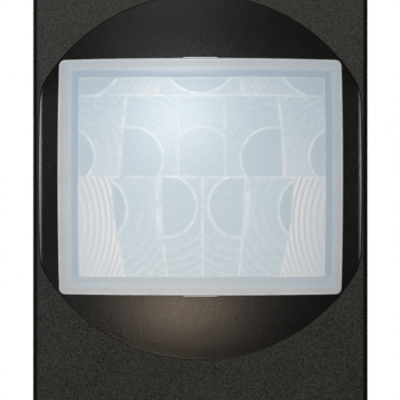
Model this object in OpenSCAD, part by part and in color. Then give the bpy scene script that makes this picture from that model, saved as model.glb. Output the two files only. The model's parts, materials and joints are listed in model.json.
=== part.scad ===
// Wall switch with a motion sensor: a dark flat face with a pressed dome that carries a faceted lens,
// on a mounting strap with a housing behind it for the wall box.
// Modelled face-on (x right, y up, z out of the wall) and then stood up, so that the front looks along -Y.
// The wall plane is z = 0 in the face-on view, and all lengths are in millimetres.

/* [Face] */
// Width of the face
face_w = 45; // [43.5:0.5:48]
// Height of the face
face_h = 67.5; // [66:0.5:74]
// Front plane of the face above the wall plane
face_rise = 9; // [8.5:0.25:12]
// Rounding of the front edges
face_edge = 0.45; // [0.2:0.05:0.7]
// Rounding of the face's corners, seen from the front
face_corner = 0.8; // [0.4:0.1:1.2]
// Thickness of the front wall
cover_front_t = 1.6; // [1.2:0.1:2]
// Thickness of the long side walls, the strip left beside the head
cover_side_t = 0.8; // [0.6:0.1:1.1]
// Thickness of the top and bottom walls
cover_end_t = 1.4; // [1:0.1:1.8]
// Gap between the back of the cover and the wall plane
cover_lift = 2; // [1.6:0.1:2.6]

/* [Head] */
// Height of the head's centre above the middle of the face
head_up = 3.2; // [0:0.1:4]
// Radius of the head's rim
head_r = 24.5; // [24:0.1:25]
// Radius of the dome's ball
dome_r = 43; // [38:0.5:60]
// Bevel of the edges along the two flats
head_edge = 0.4; // [0.2:0.05:0.6]
// Rounding of the corners where the flats meet the rim
head_corner = 1.4; // [0.8:0.1:2.5]
// Wall of the dome
head_wall = 1.4; // [1.1:0.1:1.8]
// Wall of the skirt behind the rim
skirt_t = 1.2; // [1:0.1:1.6]
// Gap between the head and the cover's opening
head_gap = 0.2; // [0.12:0.02:0.3]
// Travel of the head when it is pressed
head_travel = 0.8; // [0.4:0.1:1]
// Width of the lip that keeps the head behind the cover
lip_w = 1.3; // [0.9:0.1:1.6]
// Thickness of that lip
lip_t = 1.1; // [0.8:0.1:1.4]

/* [Lens] */
// Width of the lens
lens_w = 37.8; // [36:0.1:38.4]
// Height of the lens above the dome
lens_proud = 0.6; // [0.3:0.1:1]
// Wall of the lens
lens_wall = 1; // [0.8:0.1:1.4]
// Rounding of the lens's corners, seen from the front
lens_corner = 0.8; // [0.4:0.1:1]
// Rounding of the lens's front edges
lens_edge = 1.2; // [0.6:0.1:1.5]
// Gap between the lens and its pocket
lens_gap = 0.12; // [0.06:0.02:0.2]
// Least wall between the corners of the pocket and the head's rim
pocket_in = 0.08; // [0.06:0.02:0.4]
// Depth of the lens's seat behind the front plane
seat_drop = 0.8; // [0.6:0.1:1]
// Width of the ledge that the lens stands on
ledge_w = 1.7; // [1.3:0.1:2.2]
// Thickness of that ledge
ledge_t = 1.2; // [0.9:0.1:1.6]
// Rounding of the opening behind that ledge
ledge_corner = 3; // [1:0.5:5]
// Wall between the pocket and the hollows behind the dome
pocket_wall = 1.2; // [1:0.1:1.6]
// Width of the snap tabs at the lens's top and bottom
tab_w = 4.6; // [3:0.2:6]
// How far those tabs stand out
tab_out = 0.3; // [0.2:0.05:0.5]

/* [Lens facets] */
// Width of the smooth border with the band inside it
panel_border = 2.7; // [2:0.1:3.4]
// Width of the lines between facets
facet_line = 0.3; // [0.2:0.05:0.5]
// Height of the facet lines on the lens's inner face
facet_rise = 0.25; // [0.15:0.05:0.4]
// Radius of the first groove in each facet
zone_r = 4.2; // [3.6:0.1:4.8]
// Height of the top row of facets
top_row_h = 2.5; // [2:0.1:4]
// Height of the bottom row of facets
bottom_row_h = 13.1; // [11:0.1:14]
// Lean of the bottom row's lines, as a share of their distance from the middle
facet_lean = 0.08; // [0:0.01:0.12]

/* [Guides and springs] */
// Distance of the guide pins inside the head's rim
guide_in = 3.1; // [3:0.05:3.6]
// Diameter of the guide pins
pin_d = 2; // [1.8:0.1:2.4]
// Radial clearance of the pins in their bores
pin_fit = 0.05; // [0.03:0.01:0.08]
// Radius of the pads round the pins
pad_r = 2.3; // [2.1:0.1:2.6]
// Depth of the pads behind the front plane
pad_drop = 2; // [1.8:0.1:2.4]
// Length of a return spring at rest
spring_len = 2.8; // [2.6:0.1:3.2]
// Turns of a return spring
spring_turns = 3; // [2:0.5:3]
// Wire of a return spring
spring_wire = 0.35; // [0.25:0.05:0.4]
// Radius of a return spring at the middle of its wire
spring_r = 1.55; // [1.5:0.05:1.7]
// Room left behind the head, its pins and its plunger when it is pressed
travel_room = 0.3; // [0.2:0.05:0.4]

/* [Funnel] */
// Width of the funnel's opening at the detector
funnel_low_w = 17; // [16:0.5:19]
// Height of the funnel's opening at the detector
funnel_low_h = 11; // [10.5:0.5:13]
// Distance of the funnel's front opening inside the lens's ledge
funnel_in = 2.7; // [1.6:0.1:4]
// Wall of the funnel, and the thickness of its flange
funnel_t = 1; // [0.8:0.1:1.2]
// Width of the funnel's flange on the chassis
funnel_flange = 1.5; // [1:0.1:2]
// Height of the funnel's back end above the sensor board
funnel_lift = 1.5; // [1.2:0.1:2]

/* [Chassis] */
// Thickness of the chassis floor
chassis_t = 1.6; // [1.2:0.1:2]
// Thickness of the chassis end walls
chassis_wall = 1.2; // [1:0.1:1.6]
// Rounding of the chassis's corners
chassis_corner = 0.5; // [0.3:0.1:1]
// Sliding clearance between parts that sit inside each other
fit = 0.15; // [0.1:0.01:0.2]
// Room round the rod, the dials, the slider and the funnel where they pass the chassis
hole_room = 0.3; // [0.2:0.05:0.5]
// Diameter of the pillars that hold the sensor board down
pillar_d = 2.4; // [2:0.1:2.8]
// Distance of the pillars from the sides of the strap's opening and from the controls
pillar_in = 1; // [0.6:0.1:1.4]
// Width of each cover hook
hook_w = 5; // [3:0.5:7]
// Distance of the hooks from the upright centre line
hook_x = 12; // [9:0.5:13]
// Depth of each cover hook
hook_d = 0.7; // [0.4:0.1:0.8]
// Height of each cover hook
hook_h = 1; // [0.8:0.1:1.2]
// Height of the hooks above the chassis floor
hook_up = 0.6; // [0.4:0.1:1]

/* [Yoke] */
// Length of the strap
yoke_h = 106; // [104:0.5:110]
// Thickness of the strap
yoke_t = 1.2; // [1:0.1:1.5]
// Width of the strap's two ears
ear_w = 30; // [26:1:36]
// Rounding of the ears' corners
ear_corner = 2; // [1:0.5:4]
// Distance between the two wall-box holes
box_pitch = 83.3; // [83:0.1:84]
// Diameter of the wall-box holes
box_hole_d = 4.4; // [4:0.1:4.8]
// Distance between the two plate-screw holes
plate_pitch = 96.8; // [96:0.1:97.5]
// Diameter of the plate-screw holes before tapping
plate_hole_d = 2.8; // [2.6:0.1:3]
// Width of the strap beside its opening
yoke_rim = 4; // [3.8:0.1:4.4]
// Height of the strap above and below its opening, as far as the housing reaches
yoke_end_rim = 5.5; // [5.3:0.1:6]
// Width of the earth tab
earth_w = 8; // [7.5:0.5:9]
// Depth of the earth tab behind the wall plane
earth_deep = 9; // [8.5:0.5:11]
// Gap between the housing and the earth tab
earth_gap = 3; // [2.6:0.1:3.4]
// Distance of the earth tab from the side of its ear
earth_in = 0.5; // [0.3:0.1:1]
// Diameter of the earth screw
earth_d = 4; // [3.5:0.1:4]
// Diameter of the earth screw's head
earth_head_d = 6.8; // [6:0.1:7.2]
// Height of the earth screw's head
earth_head_h = 2.2; // [1.8:0.1:2.6]
// How far the earth screw's tip passes its tab
earth_tip = 1.6; // [1:0.1:2]

/* [Rear housing] */
// Depth of the housing behind the wall plane
rear_depth = 30; // [28:0.5:36]
// How far the housing's sides lie inside the face
rear_side_in = 1; // [0.8:0.1:1.4]
// How far the housing's ends lie inside the face
rear_end_in = 0.25; // [0.2:0.05:0.5]
// Wall of the housing
rear_wall = 1.8; // [1.5:0.1:2]
// Floor of the housing
rear_floor = 2; // [1.6:0.1:2.6]
// Rounding of the housing's upright corners
rear_corner = 2; // [1:0.1:2.2]
// Radius of the screw posts
post_r = 2.3; // [2.1:0.1:2.5]
// Distance of the screws above and below the strap's opening
screw_out = 2; // [1.8:0.1:2.2]
// Diameter of the housing screws
screw_d = 2.3; // [2:0.1:2.5]
// Radial clearance of screws in their holes
screw_fit = 0.1; // [0.05:0.01:0.15]
// Height of the screw heads
screw_head_h = 1.5; // [1.2:0.1:1.8]
// Width of the slots in the screw heads, which are as deep as they are wide
screw_slot = 0.7; // [0.5:0.1:0.9]
// How far the screws reach in front of the chassis floor
screw_bite = 1.6; // [1.2:0.1:1.8]
// Closed end of the chassis posts in front of the screws
screw_cap = 0.8; // [0.6:0.1:0.9]
// Height of the feet under the power board
foot_h = 3; // [2.5:0.1:4]
// Diameter of those feet
foot_d = 4; // [3:0.1:5]
// Distance of the feet from the power board's edges
foot_in = 3; // [2.6:0.1:3.4]
// Depth of the rails under the sensor board
rail_d = 1.6; // [1.2:0.1:2]
// Width of those rails
rail_w = 3; // [2:0.1:4]
// Distance between those rails
rail_pitch = 20; // [19:0.5:22]

/* [Boards] */
// Thickness of both circuit boards
board_t = 1.6; // [1:0.1:1.6]
// Depth of the sensor board's front behind the wall plane
board_drop = 4; // [3.8:0.1:4.6]
// Thickness of the insulating sheet
sheet_t = 0.4; // [0.2:0.1:0.6]
// Rounding of the power board's corners
board_corner = 1; // [0.5:0.1:2]
// Width of the larger chip
chip_w = 10; // [8:0.5:12]
// Height of the larger chip
chip_h = 6; // [4:0.5:7]
// Width of the smaller chip
small_chip_w = 5; // [3:0.5:6]
// Height of the smaller chip
small_chip_h = 4; // [3:0.5:5]
// Thickness of the chips
chip_t = 1.6; // [1:0.1:2]
// Gap between the chips, and between them and the trimmers
chip_gap = 1.5; // [1:0.1:2]

/* [Detector and lamps] */
// Diameter of the detector's can
pir_d = 8.3; // [7.6:0.1:8.6]
// Height of the detector's can
pir_h = 4.2; // [3.6:0.1:4.6]
// Width of the detector's base flange beyond its can
pir_flange = 0.45; // [0.3:0.05:0.6]
// Thickness of that flange
flange_t = 0.8; // [0.6:0.1:1]
// Width of the detector's window
eye_w = 4; // [3.5:0.1:4.5]
// Height of the detector's window
eye_h = 3; // [2.5:0.1:3.5]
// Depth of the detector's window
eye_t = 0.35; // [0.2:0.05:0.5]
// Distance of the detector's leads from its axis
lead_r = 2.5; // [2:0.1:2.8]
// Diameter of the detector's leads
lead_d = 0.5; // [0.4:0.05:0.6]
// How far the leads stick out behind the insulating sheet
lead_out = 1; // [0.6:0.1:2]
// Distance of the status light and the light cell from the detector's axis
lamp_x = 6.8; // [6.2:0.1:7]
// Width of the status light and of the light cell
lamp_w = 1.4; // [1.2:0.1:1.6]
// Length of the status light and of the light cell
lamp_l = 2; // [1.6:0.1:2.4]
// Height of their bodies
lamp_t = 0.5; // [0.4:0.1:0.7]
// Height of their front ends
lamp_h = 1; // [0.8:0.1:1.2]

/* [Controls] */
// Side of the push switch
tact_w = 6; // [5.5:0.1:6.5]
// Height of the push switch without its plunger
tact_h = 3.5; // [3:0.1:3.8]
// Diameter of the plunger and of the rod that presses it
rod_d = 3; // [2.6:0.1:3.4]
// How far the plunger sits in its switch
plunger_in = 1; // [0.6:0.1:1.4]
// Side of each trimmer
trim_w = 6.4; // [6:0.1:6.8]
// Height of each trimmer without its dial
trim_h = 3.3; // [2.8:0.1:3.5]
// Distance of the dials from the upright centre line
trim_x = 9.5; // [8.5:0.1:9.8]
// Distance of the dials above the lower edge of the strap's opening
trim_up = 3.2; // [3:0.1:3.5]
// Diameter of each dial
dial_d = 4; // [3.4:0.1:4.2]
// How far each dial sits in its trimmer
dial_in = 1.2; // [0.8:0.1:1.6]
// Depth of the dials' fronts behind the chassis floor's front
dial_drop = 0.4; // [0.2:0.1:0.8]
// Width of the dials' screwdriver slots, which are as deep as they are wide
dial_slot = 0.7; // [0.5:0.1:0.9]
// Width of the mode switch
mode_w = 8.6; // [7.5:0.1:9]
// Depth of the mode switch
mode_d = 4.6; // [4:0.1:5]
// Height of the mode switch without its slider
mode_h = 3; // [2.6:0.1:3.4]
// Travel of the mode slider
mode_travel = 2; // [1.5:0.1:2.2]
// Width of the mode slider's knob
knob_w = 2; // [1.6:0.1:2.2]
// Depth of the mode slider's knob
knob_d = 1.8; // [1.4:0.1:2]
// How far the slider sits in its switch
knob_in = 1.5; // [1:0.1:2]

/* [Power parts] */
// Relay length
relay_l = 20; // [18:0.5:21]
// Relay width
relay_w = 10; // [9:0.5:10.5]
// Relay height
relay_h = 12.6; // [11:0.2:15]
// Film capacitor length
film_l = 17.5; // [15:0.5:18.5]
// Film capacitor width
film_w = 7.5; // [6:0.5:8.5]
// Film capacitor height
film_h = 12.5; // [11:0.5:14]
// Rounding of the relay's and the film capacitor's upright edges
case_corner = 0.8; // [0.4:0.1:1.2]
// Transformer core length
core_l = 12; // [11:0.5:14]
// Transformer core width
core_w = 6; // [5:0.5:7]
// Transformer core height
core_h = 10.5; // [9:0.5:13]
// Thickness of the core's frame
core_t = 2; // [1.6:0.1:2.4]
// Width of the core's middle leg
core_leg = 3; // [2.4:0.1:3.6]
// Width of the winding round that leg
coil_w = 11; // [10:0.5:12]
// Rounding of the winding's corners
coil_corner = 2; // [1:0.1:2.5]
// Diameter of the bulk capacitor
bulk_d = 8; // [6:0.5:9]
// Height of the bulk capacitor
bulk_h = 11; // [8:0.5:13]
// Length of the score lines on its vented top
vent_l = 5.6; // [4:0.2:6]
// Width of those lines, which are as deep as they are wide
vent_w = 0.4; // [0.3:0.1:0.6]
// Diameter of the varistor disc
varistor_d = 9; // [7:0.5:10]
// Thickness of the varistor disc
varistor_t = 3.6; // [3:0.1:4.5]
// Diameter of the varistor's legs
leg_d = 0.8; // [0.6:0.1:1]
// Height of the varistor above the board
leg_h = 1; // [0.6:0.1:2]
// Diameter of the fuse
fuse_d = 8.4; // [7:0.1:8.6]
// Height of the fuse
fuse_h = 7.6; // [6:0.2:10]
// Height of the fuse's smaller foot
fuse_foot = 0.6; // [0.4:0.1:1]
// Distance of the top parts from the middle of the board, at their upper edge
parts_top = 25; // [24:0.5:26]
// Distance of the left parts from the middle of the board, at their outer edge
parts_left = 14; // [13.5:0.1:14.5]
// Gap between the parts in the left column
left_gap = 5; // [4:0.1:5.5]
// Gap between the parts in the right column, and beside the relay
right_gap = 1.2; // [0.8:0.1:2]

/* [Pin header] */
// Pins between the two boards
header_n = 5; // [3:1:6]
// Distance between those pins
header_pitch = 2.54; // [2:0.01:2.54]
// Width of the header, and the height of its base
header_t = 2.5; // [2.2:0.1:2.6]
// Side of each pin
pin_side = 0.64; // [0.5:0.02:0.7]
// Height of the socket
socket_h = 8; // [6:0.5:9]
// How far the pins stop short of the socket's closed end
pin_short = 0.5; // [0.3:0.1:1]
// Closed end of the socket
socket_end = 1.5; // [1:0.1:2]
// Distance of the header from the upright centre line
header_x = 7.5; // [7:0.5:9]
// Distance of the header from the power board's lower edge
header_up = 5.4; // [4:0.1:7]

/* [Terminals] */
// Side of each terminal window
window_w = 8.4; // [8:0.1:9]
// How far each terminal plate reaches behind the wall round its window
plate_lap = 0.6; // [0.4:0.1:0.8]
// Thickness of the terminal plates
plate_t = 1; // [0.8:0.1:1.2]
// Width of the plates' feet on the power board
plate_foot_w = 5; // [4:0.5:6]
// Length of those feet on the board
plate_foot_l = 2.5; // [2:0.1:2.8]
// Gap round the terminal clamps in their windows
clamp_gap = 0.5; // [0.3:0.05:0.8]
// Thickness of the terminal clamps
clamp_t = 0.8; // [0.6:0.1:1]
// Diameter of the terminal screws
term_d = 3.5; // [3:0.1:3.8]
// Diameter of the terminal screw heads
term_head_d = 6.6; // [6:0.1:7]
// Height of the terminal screw heads
term_head_h = 1.7; // [1.4:0.1:1.9]
// Width of the slots in those heads, which are as deep as they are wide
term_slot = 0.8; // [0.6:0.1:1]
// How far the terminal screws pass their plates
term_tip = 2.5; // [1:0.1:3]
// Distance of the terminals from the middle of the housing
term_y = 10; // [8:0.5:11]

/* [Hidden] */
$fn = 64;
// How far cuts run past the faces that they open
over = 1;
// Gap between faces that seat on each other
touch = 0.05;
// Least step that keeps two curved cuts from lying in one face
seam = 0.01;

// Head: the dome's ball is centred behind the wall plane, and the lens's corners follow the rim
flat_half = face_w / 2 - cover_side_t - head_gap;
ball_z = face_rise - sqrt(pow(dome_r, 2) - pow(head_r, 2));
lens_r = dome_r + lens_proud;
reach_r = head_r - pocket_in - lens_gap - lens_corner;
lens_h = 2 * (sqrt(pow(reach_r, 2) - pow(lens_w / 2 - lens_corner, 2)) + lens_corner);
pocket_w = lens_w + 2 * lens_gap;
pocket_h = lens_h + 2 * lens_gap;
lens_seat = face_rise - seat_drop;
ledge_back = lens_seat - ledge_t;
lip_front = face_rise - cover_front_t - touch;

// Lens panel and its rows
panel_w = lens_w - 2 * panel_border;
panel_h = lens_h - 2 * panel_border;
row_low = -panel_h / 2 + bottom_row_h;
row_high = panel_h / 2 - top_row_h;
facet_x_low = [0, 5.2, 11.4];
facet_x_mid = [3.2, 10.7];
facet_x_top = [5.8];
zone_low = [4.9, 14.5];
zone_mid = [0, 9.4];
zone_low_z = -3.84;
zone_mid_z = 2.5;
zone_top_z = 16;

// Guides, springs and the rod that presses the push switch
guide_y = pocket_h / 2 + pocket_wall + pad_r;
guide_x = sqrt(pow(head_r - guide_in, 2) - pow(guide_y, 2));
rod_y = pocket_h / 2 + pocket_wall + rod_d / 2;
pad_z = face_rise - pad_drop;
boss_z = pad_z - spring_len;
skirt_z = boss_z + head_travel + travel_room;
chassis_z = yoke_t + chassis_t;
pin_z = yoke_t + head_travel + travel_room;
wire_sides = 6;
turn_rings = 8;

// Housing, yoke and chassis outlines
rear_w = face_w - 2 * rear_side_in;
rear_h = face_h - 2 * rear_end_in;
chassis_w = face_w - 2 * cover_side_t - 2 * fit;
chassis_h = face_h - 2 * cover_end_t - 2 * fit;
chassis_front = face_rise - cover_front_t - 2 * fit;
open_w = rear_w - 2 * yoke_rim;
open_h = rear_h - 2 * yoke_end_rim;
screw_x = rear_w / 2 - post_r;
screw_y = open_h / 2 + screw_out;
screw_top = chassis_z + screw_bite;
pillar_x = open_w / 2 - pillar_d / 2 - pillar_in;
pillar_y = open_h / 2 - trim_up - trim_w / 2 - pillar_in - pillar_d / 2;
hook_z = chassis_z + hook_up;
earth_x = earth_w / 2 + earth_in - ear_w / 2;
earth_y = rear_h / 2 + earth_gap;

// Boards, from the front to the back
board_z = -board_drop;
board_w = rear_w - 2 * rear_wall - 2 * fit;
board_h = rear_h - 2 * rear_wall - 2 * fit;
sheet_z = board_z - board_t;
rail_z = sheet_z - sheet_t;
notch_w = board_w / 2 - screw_x + post_r + fit;
notch_h = board_h / 2 - screw_y + post_r + fit;
floor_z = rear_floor - rear_depth;
power_z = floor_z + foot_h + board_t;
power_w = rear_w - 2 * rear_wall - 2 * rail_d - 2 * fit;
power_h = 2 * (screw_y - post_r - 2 * fit);
foot_x = power_w / 2 - foot_in;
foot_y = power_h / 2 - foot_in;

// Funnel between the lens and the detector, and the opening that clears it in the chassis
funnel_back = board_z + funnel_lift;
funnel_front = ledge_back - head_travel - travel_room;
funnel_high_w = pocket_w - 2 * ledge_w - 2 * funnel_in;
funnel_high_h = pocket_h - 2 * ledge_w - 2 * funnel_in;
funnel_share = (chassis_z - funnel_back) / (funnel_front - funnel_back);
funnel_hole_w = funnel_low_w + funnel_share * (funnel_high_w - funnel_low_w) + 2 * funnel_t + 2 * hole_room;
funnel_hole_h = funnel_low_h + funnel_share * (funnel_high_h - funnel_low_h) + 2 * funnel_t + 2 * hole_room;

// Controls on the sensor board
tact_y = head_up + rod_y;
tact_z = board_z + tact_h;
plunger_out = head_travel + travel_room;
rod_z = tact_z + plunger_out + touch;
trim_y = trim_up - open_h / 2;
trim_z = board_z + trim_h;
dial_z = chassis_z - dial_drop;
mode_z = board_z + mode_h;
chip_y = trim_y + trim_w / 2 + chip_gap + chip_h / 2;

// Parts on the power board, in two columns from the top
relay_at = [relay_l / 2 - parts_left, parts_top - relay_w / 2];
film_at = [film_l / 2 - parts_left, relay_at.y - relay_w / 2 - left_gap - film_w / 2];
core_at = [core_l / 2 - parts_left, film_at.y - film_w / 2 - left_gap - coil_w / 2];
fuse_at = [relay_l - parts_left + right_gap + fuse_d / 2, parts_top - fuse_d / 2];
varistor_at = [fuse_at.x, fuse_at.y - fuse_d / 2 - right_gap - varistor_d / 2];
bulk_at = [fuse_at.x, varistor_at.y - varistor_d / 2 - right_gap - bulk_d / 2];
coil_l = core_l - 2 * core_t - 2 * fit;
core_room = (core_l - 2 * core_t - core_leg) / 2;
header_at = [header_x, header_up - power_h / 2];
header_l = header_n * header_pitch;

// Terminals: two on the left side and one on the right
terminals = [[-1, 1], [-1, -1], [1, 1]];
term_z = power_z + touch + window_w / 2 + plate_lap;
plate_x = rear_w / 2 - rear_wall - touch;
clamp_x = plate_x + touch;
head_x = clamp_x + clamp_t + touch;

// Stands a face-on piece up, so that its front looks along -Y
module upright() {
  rotate([90, 0, 0])
    children();
}

// Block of size w by h about the centre line, from z0 to z1
module block(w, h, z0, z1) {
  translate([-w / 2, -h / 2, z0])
    cube([w, h, z1 - z0]);
}

// Round bar along z, from z0 to z1
module bar(d, z0, z1) {
  translate([0, 0, z0])
    cylinder(d = d, h = z1 - z0);
}

// Flat outline raised from z0 to z1
module raise(z0, z1) {
  translate([0, 0, z0])
    linear_extrude(z1 - z0)
      children();
}

// Puts a copy at each corner of a rectangle of half-width x and half-height y
module corners(x, y) {
  for (sx = [-1, 1], sy = [-1, 1])
    translate([sx * x, sy * y, 0])
      children();
}

// Rectangle with round corners
module round_rect(w, h, r) {
  square([w - 2 * r, h], center = true);
  square([w, h - 2 * r], center = true);
  for (sx = [-1, 1], sy = [-1, 1])
    translate([sx * (w / 2 - r), sy * (h / 2 - r)])
      circle(r);
}

// Disc of radius r cut straight at x = -half and x = half, its four corners rounded by c
module cut_disc(r, half, c) {
  cx = half - c;
  cy = sqrt(pow(r - c, 2) - pow(cx, 2));
  reach = 3 * c;
  difference() {
    intersection() {
      circle(r);
      square([2 * half, 2 * r], center = true);
    }
    for (sx = [-1, 1], sy = [-1, 1])
      translate([sx * cx, sy * cy])
        polygon([[0, 0], [sx * reach, 0], [sx * reach, sy * reach * cy / cx]]);
  }
  for (sx = [-1, 1], sy = [-1, 1])
    translate([sx * cx, sy * cy])
      circle(c);
}

// Ball of radius r cut flat at x = -half and x = half, with the cut edges rounded by c
module cut_ball(r, half, c) {
  rotate([0, 90, 0])
    rotate_extrude($fn = 128)
      intersection() {
        rotate(90)
          cut_disc(r, half, c);
        translate([0, -half - over])
          square([r + over, 2 * half + 2 * over]);
      }
}

// Ball of radius r cut flat at x = -half and x = half, with the cut edges bevelled by c
module bevel_ball(r, half, c) {
  edge_r = sqrt(pow(r, 2) - pow(half, 2)) - c;
  slant = sqrt(pow(r, 2) - pow(half - c, 2)) - edge_r;
  steps = r / c / 2;
  far_r = edge_r + steps * slant;
  far_x = half - steps * c;
  rotate([0, 90, 0])
    rotate_extrude($fn = 128)
      intersection() {
        circle(r);
        polygon([[0, -half], [edge_r, -half], [far_r, -far_x], [far_r, far_x], [edge_r, half], [0, half]]);
      }
}

// Outline of the head, grown by the given amount
module head_outline(grow = 0) {
  cut_disc(head_r + grow, flat_half + grow, head_corner + grow);
}

// Moves a piece to the head's centre
module at_head() {
  translate([0, head_up, 0])
    children();
}

// Box with its four front edges rounded, as the cover's outside
module soft_front(w, h, z0, z1, edge, corner) {
  intersection() {
    raise(z0, z1 + over)
      round_rect(w, h, corner);
    translate([0, h / 2 + over, 0])
      rotate([90, 0, 0])
        linear_extrude(h + 2 * over)
          front_profile(w, z0, z1, edge);
    rotate([0, 0, 90])
      translate([0, w / 2 + over, 0])
        rotate([90, 0, 0])
          linear_extrude(w + 2 * over)
            front_profile(h, z0, z1, edge);
  }
}

// Section across that box: square at the back, rounded at the front
module front_profile(w, z0, z1, edge) {
  translate([-w / 2, z0 - over])
    square([w, z1 - edge - z0 + over]);
  translate([-w / 2 + edge, z0 - over])
    square([w - 2 * edge, z1 - z0 + over]);
  for (s = [-1, 1])
    translate([s * (w / 2 - edge), z1 - edge])
      circle(edge);
}

module front_cover() {
  inner_h = face_h - 2 * cover_end_t;
  color("#383836")
    upright() {
      difference() {
        soft_front(face_w, face_h, cover_lift, face_rise, face_edge, face_corner);
        block(face_w - 2 * cover_side_t, inner_h, cover_lift - over, face_rise - cover_front_t);
        at_head()
          raise(face_rise - cover_front_t - over, face_rise + over)
            head_outline(head_gap);
      }
      for (sx = [-1, 1], sy = [-1, 1])
        translate([sx * hook_x, sy * (inner_h / 2 - hook_d / 2 + touch), 0])
          block(hook_w, hook_d + 2 * touch, hook_z, hook_z + hook_h);
    }
}

// Outside of the head, before its lens pocket is cut
module head_block() {
  intersection() {
    translate([0, 0, ball_z])
      bevel_ball(dome_r, flat_half, head_edge);
    raise(skirt_z, ball_z + dome_r + over)
      cut_disc(head_r, flat_half + seam, head_corner);
  }
}

// Hollows above and below the lens pocket, open at the back
module head_hollows() {
  wall_y = pocket_h / 2 + pocket_wall;
  for (s = [-1, 1])
    intersection() {
      translate([0, 0, ball_z])
        sphere(dome_r - head_wall, $fn = 128);
      raise(skirt_z - over, ball_z + dome_r)
        cut_disc(head_r - skirt_t, flat_half - skirt_t, head_corner);
      translate([0, s * (wall_y + head_r / 2), 0])
        block(2 * head_r, head_r, skirt_z - over, ball_z + dome_r);
    }
}

// Height of the middle of the dome's wall at distance r from the head's axis
function wall_z(r) = ball_z + sqrt(pow(dome_r - head_wall / 2, 2) - pow(r, 2));

// Pad and pin at each guide, and the rod over the push switch, rooted in the dome's wall
module head_guides() {
  root_z = wall_z(norm([guide_x, guide_y]) + pad_r);
  corners(guide_x, guide_y) {
    bar(2 * pad_r, pad_z, root_z);
    bar(pin_d, pin_z, root_z);
  }
  translate([0, rod_y, 0])
    bar(rod_d, rod_z, wall_z(rod_y + rod_d / 2));
}

module sensor_head() {
  color("#292928")
    upright()
      at_head() {
        difference() {
          union() {
            head_block();
            raise(lip_front - lip_t, lip_front)
              intersection() {
                circle(head_r + lip_w);
                square([2 * flat_half, 3 * head_r], center = true);
              }
          }
          head_hollows();
          raise(lens_seat, ball_z + lens_r + over)
            round_rect(pocket_w, pocket_h, lens_corner + lens_gap);
          block(pocket_w - 2 * ledge_w, pocket_h - 2 * ledge_w, skirt_z - over, lens_seat + over);
          raise(skirt_z - over, ledge_back)
            round_rect(pocket_w, pocket_h, ledge_corner);
          block(tab_w + 4 * lens_gap, pocket_h + 2 * tab_out, lens_seat + over, ball_z + lens_r);
        }
        head_guides();
      }
}

// Outside of the lens: a ball patch with round front edges and corners
module lens_block() {
  intersection() {
    translate([0, 0, ball_z])
      cut_ball(lens_r, lens_w / 2, lens_edge);
    translate([0, 0, ball_z])
      rotate([0, 0, 90])
        cut_ball(lens_r + seam, lens_h / 2, lens_edge);
    raise(lens_seat, ball_z + lens_r + over)
      round_rect(lens_w + seam, lens_h + seam, lens_corner);
  }
}

// Line from [x0, y0] to [x1, y1]
module line(x0, y0, x1, y1) {
  dx = x1 - x0;
  dy = y1 - y0;
  translate([x0, y0])
    rotate(atan2(dy, dx))
      translate([0, -facet_line / 2])
        square([norm([dx, dy]), facet_line]);
}

// First groove of a facet, centred at [x, y] and kept between x0 and x1, y0 and y1
module zone(x, y, x0, x1, y0, y1) {
  intersection() {
    translate([x, y])
      difference() {
        circle(zone_r + facet_line / 2);
        circle(zone_r - facet_line / 2);
      }
    translate([x0, y0])
      square([x1 - x0, y1 - y0]);
  }
}

// Plan of the facet lines: three rows, and one groove in each inner facet
module facet_plan() {
  low = -panel_h / 2;
  high = panel_h / 2;
  line(-panel_w / 2, row_low, panel_w / 2, row_low);
  line(-panel_w / 2, row_high, panel_w / 2, row_high);
  for (s = [-1, 1]) {
    for (x = facet_x_low)
      line(s * x * (1 - facet_lean), low, s * x * (1 + facet_lean), row_low);
    for (x = facet_x_mid)
      line(s * x, row_low, s * x, row_high);
    for (x = facet_x_top)
      line(s * x, row_high, s * x, high);
    zone(s * zone_low[0], zone_low_z, min(0, s * facet_x_low[1]), max(0, s * facet_x_low[1]), low, row_low);
    zone(
      s * zone_low[1], zone_low_z,
      min(s * facet_x_low[2], s * panel_w / 2), max(s * facet_x_low[2], s * panel_w / 2),
      low, row_low
    );
    zone(
      s * zone_mid[1], zone_mid_z,
      min(s * facet_x_mid[0], s * facet_x_mid[1]), max(s * facet_x_mid[0], s * facet_x_mid[1]),
      row_low, row_high
    );
  }
  zone(zone_mid[0], zone_mid_z, -facet_x_mid[0], facet_x_mid[0], row_low, row_high);
  zone(0, zone_top_z, -facet_x_top[0], facet_x_top[0], row_high, high);
}

module fresnel_lens() {
  color("#c8d3dc")
    upright()
      at_head() {
        difference() {
          lens_block();
          intersection() {
            translate([0, 0, ball_z])
              sphere(lens_r - lens_wall, $fn = 128);
            block(lens_w - 2 * lens_wall, lens_h - 2 * lens_wall, lens_seat - over, ball_z + lens_r);
          }
        }
        intersection() {
          translate([0, 0, ball_z])
            difference() {
              sphere(lens_r - lens_wall + touch, $fn = 128);
              sphere(lens_r - lens_wall - facet_rise, $fn = 128);
            }
          raise(lens_seat, ball_z + lens_r)
            facet_plan();
        }
        intersection() {
          translate([0, 0, ball_z])
            sphere(lens_r - tab_out, $fn = 128);
          block(tab_w, lens_h + 2 * tab_out, lens_seat + 2 * over, ball_z + lens_r);
          difference() {
            block(lens_w, 2 * lens_h, 0, ball_z + lens_r);
            block(lens_w + over, lens_h - lens_wall, -over, ball_z + lens_r + over);
          }
        }
      }
}

// Points of one ring of the spring's wire, at turn angle a and height z
function wire_ring(a, z) = [
  for (k = [0:wire_sides - 1])
    let (t = 360 / wire_sides * k, r = spring_r + spring_wire / 2 * cos(t))
      [r * cos(a), r * sin(a), z + spring_wire / 2 * sin(t)]
];

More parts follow.
